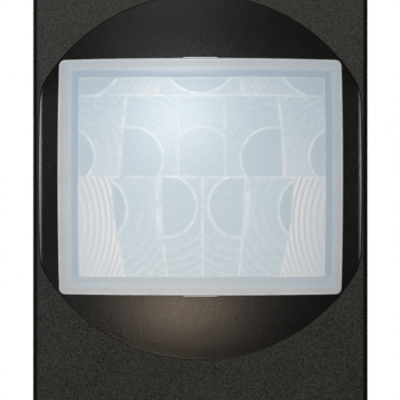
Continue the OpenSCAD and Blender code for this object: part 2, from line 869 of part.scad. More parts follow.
// Coil from z0 to z1: one unbroken tube along a helix
module coil(z0, z1) {
  rings = turn_rings * spring_turns;
  rise = z1 - z0 - spring_wire - 2 * touch;
  start = z0 + spring_wire / 2 + touch;
  pts = [for (i = [0:rings]) each wire_ring(360 / turn_rings * i, start + rise * i / rings)];
  skin = [
    for (i = [0:rings - 1], k = [0:wire_sides - 1])
      let (a = wire_sides * i + k, b = wire_sides * i + (k + 1) % wire_sides)
        each [[a, a + wire_sides, b], [b, a + wire_sides, b + wire_sides]]
  ];
  first = [for (k = [1:wire_sides - 2]) [0, k, k + 1]];
  end = wire_sides * rings;
  last = [for (k = [1:wire_sides - 2]) [end, end + k + 1, end + k]];
  polyhedron(points = pts, faces = concat(skin, first, last));
}

module return_springs() {
  color("silver")
    upright()
      at_head()
        corners(guide_x, guide_y)
          coil(boss_z, pad_z);
}

// Funnel between the lens and the detector, seated on the chassis floor by its flange
module light_baffle() {
  low = [funnel_low_w, funnel_low_h];
  high = [funnel_high_w, funnel_high_h];
  walls = [2 * funnel_t, 2 * funnel_t];
  seat_z = chassis_z + touch;
  color("#1c1c1c")
    upright()
      at_head()
        difference() {
          union() {
            frustum(low + walls, high + walls, funnel_back, funnel_front);
            block(
              funnel_hole_w + 2 * funnel_flange, funnel_hole_h + 2 * funnel_flange, seat_z, seat_z + funnel_t
            );
          }
          frustum(low, high, funnel_back - touch, funnel_front + touch);
        }
}

// Four-sided funnel solid, from size a at z0 to size b at z1
module frustum(a, b, z0, z1) {
  pts = [
    for (e = [[a, z0], [b, z1]])
      each [for (c = [[-1, -1], [1, -1], [1, 1], [-1, 1]]) [c.x * e[0].x / 2, c.y * e[0].y / 2, e[1]]]
  ];
  polyhedron(
    points = pts,
    faces = [[0, 1, 2, 3], [4, 7, 6, 5], [0, 4, 5, 1], [1, 5, 6, 2], [2, 6, 7, 3], [3, 7, 4, 0]]
  );
}

// Holes through the chassis for pins, rod, dials, slider and funnel
module chassis_holes() {
  at_head() {
    corners(guide_x, guide_y)
      bar(pin_d + 2 * pin_fit, 0, boss_z + over);
    translate([0, rod_y, 0])
      bar(rod_d + 2 * hole_room, 0, chassis_z + over);
    block(funnel_hole_w, funnel_hole_h, 0, chassis_z + over);
  }
  for (s = [-1, 1])
    translate([s * trim_x, trim_y, 0])
      bar(dial_d + 2 * hole_room, 0, chassis_z + over);
  translate([0, trim_y, 0])
    block(knob_w + mode_travel + 2 * hole_room, knob_d + 2 * hole_room, 0, chassis_z + over);
  corners(screw_x, screw_y)
    bar(screw_d + 2 * screw_fit, 0, screw_top);
  for (sx = [-1, 1], sy = [-1, 1])
    translate([sx * hook_x, sy * chassis_h / 2, 0])
      block(hook_w + 2 * fit, 2 * (hook_d + fit), hook_z - fit, hook_z + hook_h + fit);
}

module chassis() {
  color("#4a4a4a")
    upright()
      difference() {
        union() {
          raise(yoke_t, chassis_z)
            round_rect(chassis_w, chassis_h, chassis_corner);
          for (s = [-1, 1])
            translate([0, s * (chassis_h - chassis_wall) / 2, 0])
              block(chassis_w - 2 * chassis_corner, chassis_wall, yoke_t, chassis_front);
          at_head()
            corners(guide_x, guide_y)
              bar(2 * pad_r, yoke_t, boss_z);
          intersection() {
            corners(screw_x, screw_y)
              bar(2 * post_r, yoke_t, screw_top + screw_cap);
            block(chassis_w, chassis_h, 0, face_rise);
          }
          corners(pillar_x, pillar_y)
            bar(pillar_d, board_z + touch, chassis_z);
        }
        chassis_holes();
      }
}

module yoke() {
  color("silver")
    upright() {
      difference() {
        raise(0, yoke_t) {
          round_rect(rear_w, rear_h, rear_corner);
          round_rect(ear_w, yoke_h, ear_corner);
        }
        block(open_w, open_h, -over, yoke_t + over);
        for (s = [-1, 1]) {
          translate([0, s * box_pitch / 2, 0])
            bar(box_hole_d, -over, yoke_t + over);
          translate([0, s * plate_pitch / 2, 0])
            bar(plate_hole_d, -over, yoke_t + over);
        }
        corners(screw_x, screw_y)
          bar(screw_d + 4 * screw_fit, -over, yoke_t + over);
      }
      difference() {
        translate([earth_x, -earth_y - yoke_t / 2, 0])
          block(earth_w, yoke_t, -earth_deep, yoke_t);
        at_earth()
          bar(earth_d + 2 * screw_fit, -yoke_t - over, over);
      }
    }
}

// Puts a piece on the earth screw's axis, with its z pointing away from the housing
module at_earth() {
  translate([earth_x, -earth_y - yoke_t, earth_w / 2 - earth_deep])
    rotate([90, 0, 0])
      children();
}

module ground_screw() {
  color("seagreen")
    upright()
      at_earth() {
        difference() {
          bar(earth_head_d, touch, earth_head_h);
          block(2 * earth_head_d, term_slot, earth_head_h - term_slot, earth_head_h + over);
        }
        bar(earth_d, -yoke_t - earth_tip, 2 * touch);
      }
}

// Puts a piece on a terminal's axis, with its z pointing out of the housing's side
module at_terminal(t) {
  translate([0, t[1] * term_y, term_z])
    rotate([0, t[0] * 90, 0])
      children();
}

module rear_housing() {
  color("#3a3a3a")
    upright()
      difference() {
        union() {
          difference() {
            raise(-rear_depth, 0)
              round_rect(rear_w, rear_h, rear_corner);
            block(rear_w - 2 * rear_wall, rear_h - 2 * rear_wall, floor_z, over);
          }
          intersection() {
            corners(screw_x, screw_y)
              bar(2 * post_r, -rear_depth + touch, 0);
            raise(-rear_depth, 0)
              round_rect(rear_w, rear_h, rear_corner);
          }
          for (s = [-1, 1], y = [-rail_pitch, 0, rail_pitch])
            translate([s * (rear_w / 2 - rear_wall - rail_d / 2 + touch), y, 0])
              block(rail_d + 2 * touch, rail_w, -rear_depth + touch, rail_z);
          corners(foot_x, foot_y)
            bar(foot_d, -rear_depth + touch, floor_z + foot_h);
        }
        corners(screw_x, screw_y)
          bar(screw_d + 2 * screw_fit, -rear_depth - over, over);
        for (t = terminals)
          at_terminal(t)
            block(window_w, window_w, rear_w / 2 - rear_wall - over, rear_w / 2 + over);
      }
}

module housing_screws() {
  head_d = 2 * (post_r - 2 * screw_fit);
  head_z = -rear_depth - screw_head_h;
  color("gainsboro")
    upright()
      corners(screw_x, screw_y) {
        difference() {
          bar(head_d, head_z, -rear_depth - touch);
          block(post_r, screw_slot, head_z - over, head_z + screw_slot);
          block(screw_slot, post_r, head_z - over, head_z + screw_slot);
        }
        bar(screw_d, -rear_depth - 2 * touch, screw_top - 2 * fit);
      }
}

// Outline of the sensor board, notched at the screw posts
module board_outline() {
  difference() {
    square([board_w, board_h], center = true);
    for (sx = [-1, 1], sy = [-1, 1])
      translate([sx * board_w / 2, sy * board_h / 2])
        square([2 * notch_w, 2 * notch_h], center = true);
  }
}

// Puts a piece at each of the detector's leads
module at_leads() {
  at_head()
    for (a = [30, 150, 270])
      rotate(a)
        translate([lead_r, 0, 0])
          children();
}

module sensor_board() {
  color("darkgreen")
    upright()
      difference() {
        raise(sheet_z, board_z)
          board_outline();
        at_leads()
          bar(lead_d + 4 * touch, sheet_z - over, board_z + over);
      }
}

module insulator() {
  color("wheat")
    upright()
      difference() {
        raise(rail_z + touch, sheet_z - touch)
          board_outline();
        translate([header_at.x, header_at.y, 0])
          block(header_l + 2 * fit, header_t + 2 * fit, rail_z - over, sheet_z + over);
        at_head()
          bar(2 * (lead_r + lead_d + hole_room), rail_z - over, sheet_z + over);
      }
}

module pir_can() {
  color("gold")
    upright()
      at_head() {
        bar(pir_d + 2 * pir_flange, board_z + touch, board_z + touch + flange_t);
        difference() {
          bar(pir_d, board_z + touch, board_z + pir_h);
          block(eye_w, eye_h, board_z + pir_h - eye_t, board_z + pir_h + over);
        }
      }
}

module pir_window() {
  color("#303040")
    upright()
      at_head()
        block(eye_w - 2 * touch, eye_h - 2 * touch, board_z + pir_h - eye_t + touch, board_z + pir_h - touch);
}

module pir_leads() {
  color("silver")
    upright()
      at_leads()
        bar(lead_d, rail_z - lead_out, board_z);
}

// Small flat component with a round front end, on the sensor board
module lamp() {
  block(lamp_w, lamp_l, board_z + touch, board_z + lamp_t);
  bar(lamp_w - 4 * touch, board_z + touch, board_z + lamp_h);
}

module status_led() {
  color("#d8d8d0")
    upright()
      at_head()
        translate([lamp_x, 0, 0])
          lamp();
}

module light_cell() {
  color("#404050")
    upright()
      at_head()
        translate([-lamp_x, 0, 0])
          lamp();
}

module control_chips() {
  color("#202020")
    upright() {
      translate([0, chip_y, 0])
        chip(chip_w, chip_h);
      translate([(chip_w + small_chip_w) / 2 + chip_gap, chip_y, 0])
        chip(small_chip_w, small_chip_h);
    }
}

// Chip of size w by h on the sensor board, with a round mark at its first pin
module chip(w, h) {
  mark_in = 1;
  mark_d = 0.8;
  mark_t = 0.2;
  difference() {
    block(w, h, board_z + touch, board_z + chip_t);
    translate([mark_in - w / 2, h / 2 - mark_in, 0])
      bar(mark_d, board_z + chip_t - mark_t, board_z + chip_t + over);
  }
}

module tact_switch() {
  color("#222222")
    upright()
      translate([0, tact_y, 0])
        difference() {
          block(tact_w, tact_w, board_z + touch, tact_z);
          bar(rod_d + 2 * pin_fit, tact_z - plunger_in - head_travel - travel_room, tact_z + over);
        }
}

module tact_plunger() {
  color("ivory")
    upright()
      translate([0, tact_y, 0])
        bar(rod_d, tact_z - plunger_in, tact_z + plunger_out);
}

// Square trimmer with a bore for its dial
module trimmer(s) {
  upright()
    translate([s * trim_x, trim_y, 0])
      difference() {
        block(trim_w, trim_w, board_z + touch, trim_z);
        bar(dial_d + 2 * pin_fit, trim_z - dial_in - fit, trim_z + over);
      }
}

// Dial of a trimmer, with a screwdriver slot and a pointer notch
module dial(s) {
  upright()
    translate([s * trim_x, trim_y, 0])
      difference() {
        bar(dial_d, trim_z - dial_in, dial_z);
        block(2 * dial_d, dial_slot, dial_z - dial_slot, dial_z + over);
        translate([0, dial_d / 2, 0])
          block(dial_slot, dial_d / 2, dial_z - dial_slot / 2, dial_z + over);
      }
}

module time_trimmer() {
  color("royalblue")
    trimmer(-1);
}

module time_dial() {
  color("white")
    dial(-1);
}

module level_trimmer() {
  color("royalblue")
    trimmer(1);
}

module level_dial() {
  color("gold")
    dial(1);
}

module mode_switch() {
  color("#262626")
    upright()
      translate([0, trim_y, 0])
        difference() {
          block(mode_w, mode_d, board_z + touch, mode_z);
          block(knob_w + mode_travel + 2 * fit, knob_d + 2 * fit, mode_z - knob_in, mode_z + over);
        }
}

module mode_slider() {
  color("white")
    upright()
      translate([-mode_travel / 2, trim_y, 0])
        block(knob_w, knob_d, mode_z - knob_in + touch, dial_z);
}

module power_board() {
  color("darkgreen")
    upright()
      raise(power_z - board_t + touch, power_z)
        round_rect(power_w, power_h, board_corner);
}

// Boxed component of size l by w by h on the power board, with its upright edges rounded
module boxed(at, l, w, h) {
  upright()
    translate([at.x, at.y, 0])
      raise(power_z + touch, power_z + h)
        round_rect(l, w, case_corner);
}

module relay() {
  color("#2f4f6f")
    boxed(relay_at, relay_l, relay_w, relay_h);
}

module film_capacitor() {
  color("#d0b040")
    boxed(film_at, film_l, film_w, film_h);
}

module bulk_capacitor() {
  top_z = power_z + bulk_h;
  color("#202838")
    upright()
      translate([bulk_at.x, bulk_at.y, 0])
        difference() {
          bar(bulk_d, power_z + touch, top_z);
          block(vent_l, vent_w, top_z - vent_w, top_z + over);
          block(vent_w, vent_l, top_z - vent_w, top_z + over);
        }
}

module transformer_core() {
  color("#3a3a3a")
    upright()
      translate([core_at.x, core_at.y, power_z + touch])
        difference() {
          block(core_l, core_w, 0, core_h);
          for (s = [-1, 1])
            translate([s * (core_leg + core_room) / 2, 0, 0])
              block(core_room, core_w + 2 * over, core_t, core_h - core_t);
        }
}

module transformer_coil() {
  color("peru")
    upright()
      translate([core_at.x, core_at.y, power_z + touch])
        difference() {
          raise(core_t + fit, core_h - core_t - fit)
            round_rect(coil_l, coil_w, coil_corner);
          block(core_leg + 2 * fit, core_w + 2 * fit, 0, core_h);
        }
}

module varistor() {
  color("#3060a0")
    upright()
      translate([varistor_at.x, varistor_at.y, power_z]) {
        translate([0, 0, varistor_d / 2 + leg_h])
          rotate([0, 90, 0])
            cylinder(d = varistor_d, h = varistor_t, center = true);
        for (s = [-1, 1])
          translate([0, s * varistor_d / 4, 0])
            bar(leg_d, touch, leg_h + varistor_d / 4);
      }
}

module fuse() {
  color("#6a3a2a")
    upright()
      translate([fuse_at.x, fuse_at.y, 0]) {
        bar(fuse_d, power_z + fuse_foot, power_z + fuse_h);
        bar(fuse_d - 2 * fuse_foot, power_z + touch, power_z + fuse_foot + touch);
      }
}

// Puts a piece at each pin of the header
module at_pins() {
  for (i = [0:header_n - 1])
    translate([header_at.x + (i - (header_n - 1) / 2) * header_pitch, header_at.y, 0])
      children();
}

module header_base() {
  color("#181818")
    upright()
      difference() {
        translate([header_at.x, header_at.y, 0])
          block(header_l, header_t, power_z + touch, power_z + header_t);
        at_pins()
          block(pin_side + 2 * touch, pin_side + 2 * touch, power_z, power_z + header_t + over);
      }
}

module header_pins() {
  color("gold")
    upright()
      at_pins()
        block(pin_side, pin_side, power_z + touch, sheet_z - socket_end - pin_short);
}

module header_socket() {
  color("#181818")
    upright()
      difference() {
        translate([header_at.x, header_at.y, 0])
          block(header_l, header_t, sheet_z - socket_h, sheet_z - touch);
        at_pins()
          block(pin_side + 2 * touch, pin_side + 2 * touch, sheet_z - socket_h - over, sheet_z - socket_end);
      }
}

module terminal_plates() {
  side = window_w + 2 * plate_lap;
  color("goldenrod")
    upright()
      for (t = terminals)
        at_terminal(t)
          difference() {
            union() {
              block(side, side, plate_x - plate_t, plate_x);
              translate([t[0] * (term_z - power_z - touch - plate_t / 2), 0, 0])
                block(plate_t, plate_foot_w, power_w / 2 - plate_foot_l, plate_x);
            }
            bar(term_d + 2 * screw_fit, plate_x - plate_t - over, plate_x + over);
          }
}

module terminal_clamps() {
  side = window_w - 2 * clamp_gap;
  color("goldenrod")
    upright()
      for (t = terminals)
        at_terminal(t)
          difference() {
            block(side, side, clamp_x, clamp_x + clamp_t);
            bar(term_d + 2 * screw_fit, clamp_x - over, clamp_x + clamp_t + over);
          }
}

module terminal_screws() {
  color("gold")
    upright()
      for (t = terminals)
        at_terminal(t) {
          difference() {
            bar(term_head_d, head_x, head_x + term_head_h);
            block(2 * term_head_d, term_slot, head_x + term_head_h - term_slot, head_x + term_head_h + over);
          }
          bar(term_d, plate_x - plate_t - term_tip, head_x + touch);
        }
}

front_cover();
sensor_head();
fresnel_lens();
return_springs();
light_baffle();
chassis();
yoke();
rear_housing();
housing_screws();
sensor_board();
insulator();
pir_can();
pir_window();
pir_leads();
status_led();
light_cell();
control_chips();
tact_switch();
tact_plunger();
time_trimmer();
time_dial();
level_trimmer();
level_dial();
mode_switch();
mode_slider();
power_board();
relay();
film_capacitor();
bulk_capacitor();
transformer_core();
transformer_coil();
varistor();
fuse();
header_base();
header_pins();
header_socket();
terminal_plates();
terminal_clamps();
terminal_screws();
ground_screw();
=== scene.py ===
"""Motion sensor light switch: fine pieces, finishes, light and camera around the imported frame."""
import json
import math

import bmesh
import bpy
import numpy
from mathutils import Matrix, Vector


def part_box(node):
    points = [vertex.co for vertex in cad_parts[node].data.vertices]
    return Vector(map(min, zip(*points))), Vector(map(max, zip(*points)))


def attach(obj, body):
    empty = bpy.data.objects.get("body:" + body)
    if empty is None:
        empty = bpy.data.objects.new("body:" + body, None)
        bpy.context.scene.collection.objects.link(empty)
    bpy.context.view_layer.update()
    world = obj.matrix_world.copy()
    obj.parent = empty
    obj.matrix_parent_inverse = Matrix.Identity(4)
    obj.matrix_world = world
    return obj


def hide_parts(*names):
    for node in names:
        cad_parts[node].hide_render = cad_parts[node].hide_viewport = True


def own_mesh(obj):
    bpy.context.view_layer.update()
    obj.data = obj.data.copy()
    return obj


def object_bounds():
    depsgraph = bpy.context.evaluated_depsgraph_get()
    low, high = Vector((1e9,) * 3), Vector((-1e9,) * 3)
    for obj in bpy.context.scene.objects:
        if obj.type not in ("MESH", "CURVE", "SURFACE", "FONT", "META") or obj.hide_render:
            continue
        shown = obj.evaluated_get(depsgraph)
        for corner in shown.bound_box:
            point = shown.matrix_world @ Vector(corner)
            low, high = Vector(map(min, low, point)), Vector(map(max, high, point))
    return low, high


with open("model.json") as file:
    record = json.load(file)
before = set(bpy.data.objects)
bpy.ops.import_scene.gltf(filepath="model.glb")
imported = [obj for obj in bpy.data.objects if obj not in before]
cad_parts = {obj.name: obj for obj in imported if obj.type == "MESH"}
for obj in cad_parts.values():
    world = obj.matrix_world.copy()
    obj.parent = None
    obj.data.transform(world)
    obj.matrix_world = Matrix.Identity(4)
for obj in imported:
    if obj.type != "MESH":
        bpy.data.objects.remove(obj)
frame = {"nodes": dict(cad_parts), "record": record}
CAD_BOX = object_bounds()

MM = 0.001
TINY = 1e-9
SAME_PLACE = 0.01 * MM
SQUARE_ON, EDGE_ON = 0.9, 0.1
NODES = frame["nodes"]
SLOTS = {part["node"]: part["material_slot"] for part in frame["record"]["subparts"]}

# Sizes that the frame gives
COVER_LOW, COVER_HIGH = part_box("front_cover")
HEAD_LOW, HEAD_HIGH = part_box("sensor_head")
LENS_LOW, LENS_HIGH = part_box("fresnel_lens")
SPRING_LOW, SPRING_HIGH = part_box("return_springs")
PLATE_Y = COVER_LOW[1]
HEAD_Z = (HEAD_LOW[2] + HEAD_HIGH[2]) / 2
FLAT_HALF = HEAD_HIGH[0]
SEAT_Y = LENS_HIGH[1]

# Cover plate
PLATE_EDGE = 0.75 * MM
PLATE_CORNER = 1 * MM
PLATE_SKIN = 1.6 * MM
SIDE_WALL = 0.8 * MM
END_WALL = 1.4 * MM
HEAD_GAP = 0.04 * MM
OPENING_EDGE = 0.05 * MM
# Painted shade: how far back the plate's rounded outer edge is painted dark
EDGE_SHADE_SPAN = (0.01 * PLATE_EDGE, 0.9 * PLATE_EDGE)

# Press head: a dome cut straight on both sides
RIM_R = 24.5 * MM
DOME_R = 43 * MM
HEAD_CORNER = 6 * MM
FLAT_EDGE = 0.9 * MM
RIM_EDGE = 0.06 * MM
BALL_Y = PLATE_Y + math.sqrt(DOME_R ** 2 - RIM_R ** 2)
SKIRT_Y = -5.3 * MM
LIP_W = 1.3 * MM
LIP_FRONT = -7.35 * MM
LIP_BACK = -6.25 * MM
POCKET_EDGE = 0.04 * MM
POCKET_WALL = 1.32 * MM
DOME_WALL = 1.4 * MM
SKIRT_WALL = 1.2 * MM
PAD_R = 2.3 * MM
PIN_R = 1 * MM
PIN_TIP = -2.3 * MM
ROD_R = 1.5 * MM
ROD_TIP = -0.65 * MM
SEAT_CORNER = 3 * MM
FLAT_BLEND = 0.4 * MM
MOST_EDGE = 0.6
MOST_LEAD = 0.2
HEAD_SPOKES = 720
DOME_RINGS = 18
EDGE_RINGS = 7

# Return springs
SPRING_WIRE = 0.35 * MM
SPRING_R = 1.55 * MM
SPRING_TURNS = 3
SPRING_STEPS = 40
SPRING_SIDES = 12

# Rear box
BOX_CORNER = 1.8 * MM
PARTING_Y = 3.2 * MM
PARTING_W = 0.3 * MM
PARTING_DEEP = 0.25 * MM
RECESS_HALF = (12 * MM, 18 * MM)
RECESS_DEEP = 0.35 * MM
RECESS_CORNER = 1.5 * MM
GAUGE_X = 16.4 * MM
GAUGE_W = 1.8 * MM
GAUGE_LONG = 12 * MM
GAUGE_DEEP = 0.7 * MM
GAUGE_CORNER = 0.48 * GAUGE_W
VENTS = 7
VENT_W = 1.1 * MM
VENT_PITCH = 2.7 * MM
VENT_DEEP = 0.8 * MM
VENT_Y = (9 * MM, 23 * MM)
WINDOW_HALF = 4.3 * MM
FRAME_W = 1 * MM
FRAME_OUT = 0.45 * MM
FRAME_ROOT = 0.3 * MM

# Broken edges of the frame nodes that are copied
POINT_GAP = 0.001 * MM
FLAT_ANGLE = 0.5
BREAK_STEPS = 2
BREAK_ANGLE = 40
CRISP_ANGLE = 35

# Lens and its pocket
TAB_OUT = 0.3 * MM
TAB_HALF = 2.3 * MM
TAB_SHOWN = 0.1 * MM
LENS_FILL = 0.02 * MM
LENS_TRIM = 0.1 * MM
LENS_HALF_X = LENS_HIGH[0] + LENS_FILL
LENS_HALF_Z = (LENS_HIGH[2] - LENS_LOW[2]) / 2 - TAB_OUT - LENS_TRIM
LENS_R = BALL_Y - LENS_LOW[1]
LENS_CORNER = 0.85 * MM
LENS_EDGE = 0.22 * MM
LENS_WALL = 1 * MM
LENS_GAP = 0.03 * MM
LEDGE_W = 1.7 * MM
LEDGE_BACK = -7 * MM
LENS_PITCH = 0.136 * MM
HAIR = 0.02 * MM
WALL_SHARE = 0.6
HOLLOW_SHARES = (1, 0.8, 0.7, 0.55, 0.3)
EDGE_STEPS = 8

# Lens moulding, in millimetres from the head's centre
PANEL_MID = 0.2
PANEL_HALF_X = 16.35
PANEL_HALF_Z = 13.2
PANEL_SOFT = 0.26
BAND_W = 0.94
BAND_SOFT = 0.3
STEP_SOFT = 0.6
# Painted light: the blue band is painted paler along the bottom, where a warm light from below falls on it
LOW_BAND_Z = (12.9, 13.3)
LOW_BAND_PAINTED_LIGHT = 0.5
TINGE = 0.6
TINGE_SPAN = (-2.4, -1.1)
# Painted highlight lines along the panel's outline and along the lens's rounded rim
OUTLINE_IN, OUTLINE_W, OUTLINE_SHINE = 0.12, 0.12, 0.4
RIM_IN, RIM_W, RIM_SHINE = 0.19, 0.11, 0.62
STEP_DEEP = 0.04
GROOVE_DEEP = 0.11
LINE_HIGH = 0.03

# Rows of facets, their middles, and each facet's edge: how far it is from the middle, and its bow
LOW_ROW, TOP_ROW = -0.1, 10.7
LOW_MID, TOP_MID = PANEL_MID + 0.1, 0
LOW_EDGES = ((5.55, 0.0048), (12, 0.0105))
MID_EDGES = ((3.1, 0), (10.8, 0.0068))
TOP_EDGE = 5.45

# Facets from the middle outwards: centre of the rings across and up, radius of the first ring, strength of the
# painted highlight on the first ring and on the others, depth of the grooves, dimness of the first zone
LOW_FACETS = (
    (4.8, -3.9, 4.05, 0.7, 0.2, 0.3, 0.3),
    (14.55, -4.35, 4.6, 0.7, 0.28, 0.3, 1),
    (27.5, -6.1, 4.7, 0, 0, 0.75, 0))
MID_FACETS = (
    (0, 2.3, 4.15, 0.4, 0.06, 0.1, 0.3),
    (9.25, 2.3, 4.15, 0.55, 0.2, 0.2, 0.5),
    (18.05, 2.65, 3.9, 0.85, 0.35, 0.3, 0.5))
TOP_FACETS = (
    (0, 16, 5, 0.7, 0.1, 0.2, 0.9),
    (16.5, 16.9, 6.7, 0.7, 0.1, 0.12, 0.9))
RING_W = 0.18
ZONE_EDGE = 0.1

# Painted highlights: bright lines between the facets, and a painted glow beside the low row's inner ones
SEAM_W, SEAM_SHINE = 0.17, 0.6
TOP_SEAM_SHINE = 0.2
MID_SEAM_SHINE = 0.4
SIDE_SEAM_W, SIDE_SEAM_SHINE = 0.24, 0.75
GLOW_OUT, GLOW_W, GLOW_SHINE = 0.4, 0.38, 0.55
GLOW_Z = (-9, -6.5)

# Pale stripes of the low row, pale sides of the middle row, pale arcs and patches of the top row
STRIPE_TONE, STRIPE_SWING = 0.56, 0.44
STRIPE_FADE, STRIPE_LEAST = 0.05, 0.6
CALM_OVER, CALM_LEAST = 6.5, 0.3
SIDE_TONE, SIDE_SWING = 0.2, 0.12
SIDE_Z = (9, 3)
ARC_TONE = 0.1
PATCH_TONE, PATCH_SWING, PATCH_LEAST = 0.5, 0.36, 0.3
PATCH_X, PATCH_Z = (12.5, 6.5), (13.6, 11)
PATCH_LINES = 3

# Finishes: where most of a noise's values lie, the grain's share in a moulding's tone, blots and relief in millimetres
NOISE_SPAN = (0.3, 0.7)
GRAIN_SPAN = (0.34, 0.66)
DRAWN_SPAN = (0.25, 0.75)
GRAIN_SHARE = 0.88
BLOT = 6.0
FINE_RELIEF = 0.004
HAZE_GAIN, HAZE_LIFT, HAZE_ROUGH = 1.15, 12, 0.06

# Studio, in metres and degrees, with the camera's sensor in millimetres
CAMERA_AWAY = 0.3
CAMERA_X, CAMERA_Z = -0.045 * MM, 0.14 * MM
FRAME_WIDTH = 53.64 * MM
SENSOR_WIDTH = 36
FLOOR_R = 0.3
FLOOR_FADE = (0.35 * FLOOR_R, 0.95 * FLOOR_R)
FLOOR_GAP = 0.5 * MM
MIDDLE = (0, 0, 0)
FACE = (0, PLATE_Y, HEAD_Z)
LOW_DOME = (0, -0.0128, -0.0145)
GLOW_AT = (-0.0068, -0.039, -0.0438)
FILL_SPREAD = 34
DAYLIGHT = (1.0, 0.99, 0.97)
CREAM = (1.0, 0.99, 0.94)
WARM = (1.0, 0.775, 0.565)
WHITE = (1, 1, 1, 1)


def tone(red, green, blue):
    """A colour read as 0 to 255 on the screen, as the light values that the shader takes."""
    light = [c / 255 / 12.92 if c <= 10 else ((c / 255 + 0.055) / 1.055) ** 2.4 for c in (red, green, blue)]
    return (*light, 1.0)


def ramp(value, start, end):
    """0 as far as the start, 1 from the end on, and even between them."""
    return numpy.clip((value - start) / (end - start), 0, 1)


def soft_step(value, place, width):
    """A step from 0 to 1 at a place, eased over a width."""
    return numpy.clip((value - place) / width + 0.5, 0, 1)


def ridge(away, height, width):
    """A soft line of that height, by the distance from it."""
    return height * numpy.exp(-(away / width) ** 2)


def hold(piece):
    """Makes a piece the only selected one, and the active one."""
    bpy.ops.object.select_all(action="DESELECT")
    piece.select_set(True)
    bpy.context.view_layer.objects.active = piece


def settle(name):
    """Names the piece that was just added, and puts its place into its mesh."""
    piece = bpy.context.object
    piece.name = piece.data.name = name
    hold(piece)
    bpy.ops.object.transform_apply(location=True, rotation=True, scale=True)
    return piece


def open_up(piece):
    """Starts work on a piece's faces and edges."""
    hold(piece)
    bpy.ops.object.mode_set(mode="EDIT")


def close_up():
    """Ends work on a piece's faces and edges."""
    bpy.ops.object.mode_set(mode="OBJECT")


def face_outwards():
    """Turns every face of an opened piece outwards."""
    bpy.ops.mesh.select_all(action="SELECT")
    bpy.ops.mesh.normals_make_consistent(inside=False)


def pick(piece, part, wanted):
    """Selects those of an opened piece's verts, edges or faces that wanted() says yes to."""
    bpy.ops.mesh.select_mode(type=part)
    bpy.ops.mesh.select_all(action="DESELECT")
    mesh = bmesh.from_edit_mesh(piece.data)
    for item in {"VERT": mesh.verts, "EDGE": mesh.edges, "FACE": mesh.faces}[part]:
        item.select_set(bool(wanted(item)))
    bmesh.update_edit_mesh(piece.data)


def near(a, b):
    """True where two places along an axis are as good as the same."""
    return abs(a - b) < SAME_PLACE


def all_at(edge, axis, place):
    """True where both ends of an edge lie at that place along an axis."""
    return all(near(v.co[axis], place) for v in edge.verts)


def runs_back(edge):
    """True where an edge runs from front to back."""
    return not near(edge.verts[0].co.y, edge.verts[1].co.y)


def box(name, low, high):
    """A box between its lowest and highest corner."""
    middle = [(a + b) / 2 for a, b in zip(low, high)]
    size = [b - a for a, b in zip(low, high)]
    bpy.ops.object.select_all(action="DESELECT")
    bpy.ops.mesh.primitive_cube_add(size=1, location=middle, scale=size)
    return settle(name)


def rod(name, x, z, radius, front, back, sides=32):
    """A round bar along Y from front to back."""
    bpy.ops.object.select_all(action="DESELECT")
    bpy.ops.mesh.primitive_cylinder_add(
        vertices=sides, radius=radius, depth=back - front,
        location=(x, (front + back) / 2, z), rotation=(math.pi / 2, 0, 0))
    return settle(name)


def join_cut(piece, tool, how):
    """Cuts a tool out of a piece, joins it on, or keeps what both share, and uses the tool up."""
    hold(piece)
    change = piece.modifiers.new("change", "BOOLEAN")
    change.operation = how
    change.object = tool
    change.solver = "MANIFOLD"
    bpy.ops.object.modifier_apply(modifier=change.name)
    bpy.data.meshes.remove(tool.data)


def smooth(piece, angle=30):
    """Smooth faces, with edges sharper than the angle left crisp."""
    hold(piece)
    bpy.ops.object.shade_smooth_by_angle(angle=math.radians(angle))


def even_out(piece):
    """Keeps the shading of large flat faces even next to their small rounds."""
    hold(piece)
    even = piece.modifiers.new("even", "WEIGHTED_NORMAL")
    even.keep_sharp = True
    bpy.ops.object.modifier_apply(modifier=even.name)


def place(piece, body, slot, *nodes):
    """Hangs a piece on the body that carries it and hides the frame nodes that it stands for. The slot is not used."""
    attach(piece, body)
    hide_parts(*nodes)


def cut_disc(angle, rim, half, corner):
    """Distance from the head's centre to its outline, in each of the given directions."""
    c, s = numpy.abs(numpy.cos(angle)), numpy.abs(numpy.sin(angle))
    mid_x = half - corner
    mid_z = math.sqrt((rim - corner) ** 2 - mid_x ** 2)
    flat = half / numpy.maximum(c, TINY)
    along = mid_x * c + mid_z * s
    rounded = along + numpy.sqrt(numpy.maximum(corner ** 2 - (mid_x * s - mid_z * c) ** 2, 0))
    straight = flat * s < mid_z
    on_rim = s * mid_x > c * mid_z
    return numpy.where(straight, flat, numpy.where(on_rim, rim, rounded))


def round_rect(angle, half_x, half_z, corner):
    """The same for a rectangle about that centre, with round corners."""
    c, s = numpy.abs(numpy.cos(angle)), numpy.abs(numpy.sin(angle))
    plain = numpy.minimum(half_x / numpy.maximum(c, TINY), half_z / numpy.maximum(s, TINY))
    mid_x, mid_z = half_x - corner, half_z - corner
    in_corner = (plain * c > mid_x) & (plain * s > mid_z)
    along = mid_x * c + mid_z * s
    rounded = along + numpy.sqrt(numpy.maximum(corner ** 2 - (mid_x * s - mid_z * c) ** 2, 0))
    return numpy.where(in_corner, rounded, plain)


def head_slab(name, rim, half, corner, front, back):
    """A slab in the head's outline: a drum cut straight on both sides, its four corners rounded."""
    slab = rod(name, 0, HEAD_Z, rim, front, back, sides=HEAD_SPOKES)
    for v in slab.data.vertices:
        turn = math.atan2(v.co.z - HEAD_Z, v.co.x)
        reach = cut_disc(turn, rim, half, corner)
        v.co = (reach * math.cos(turn), v.co.y, HEAD_Z + reach * math.sin(turn))
    return slab


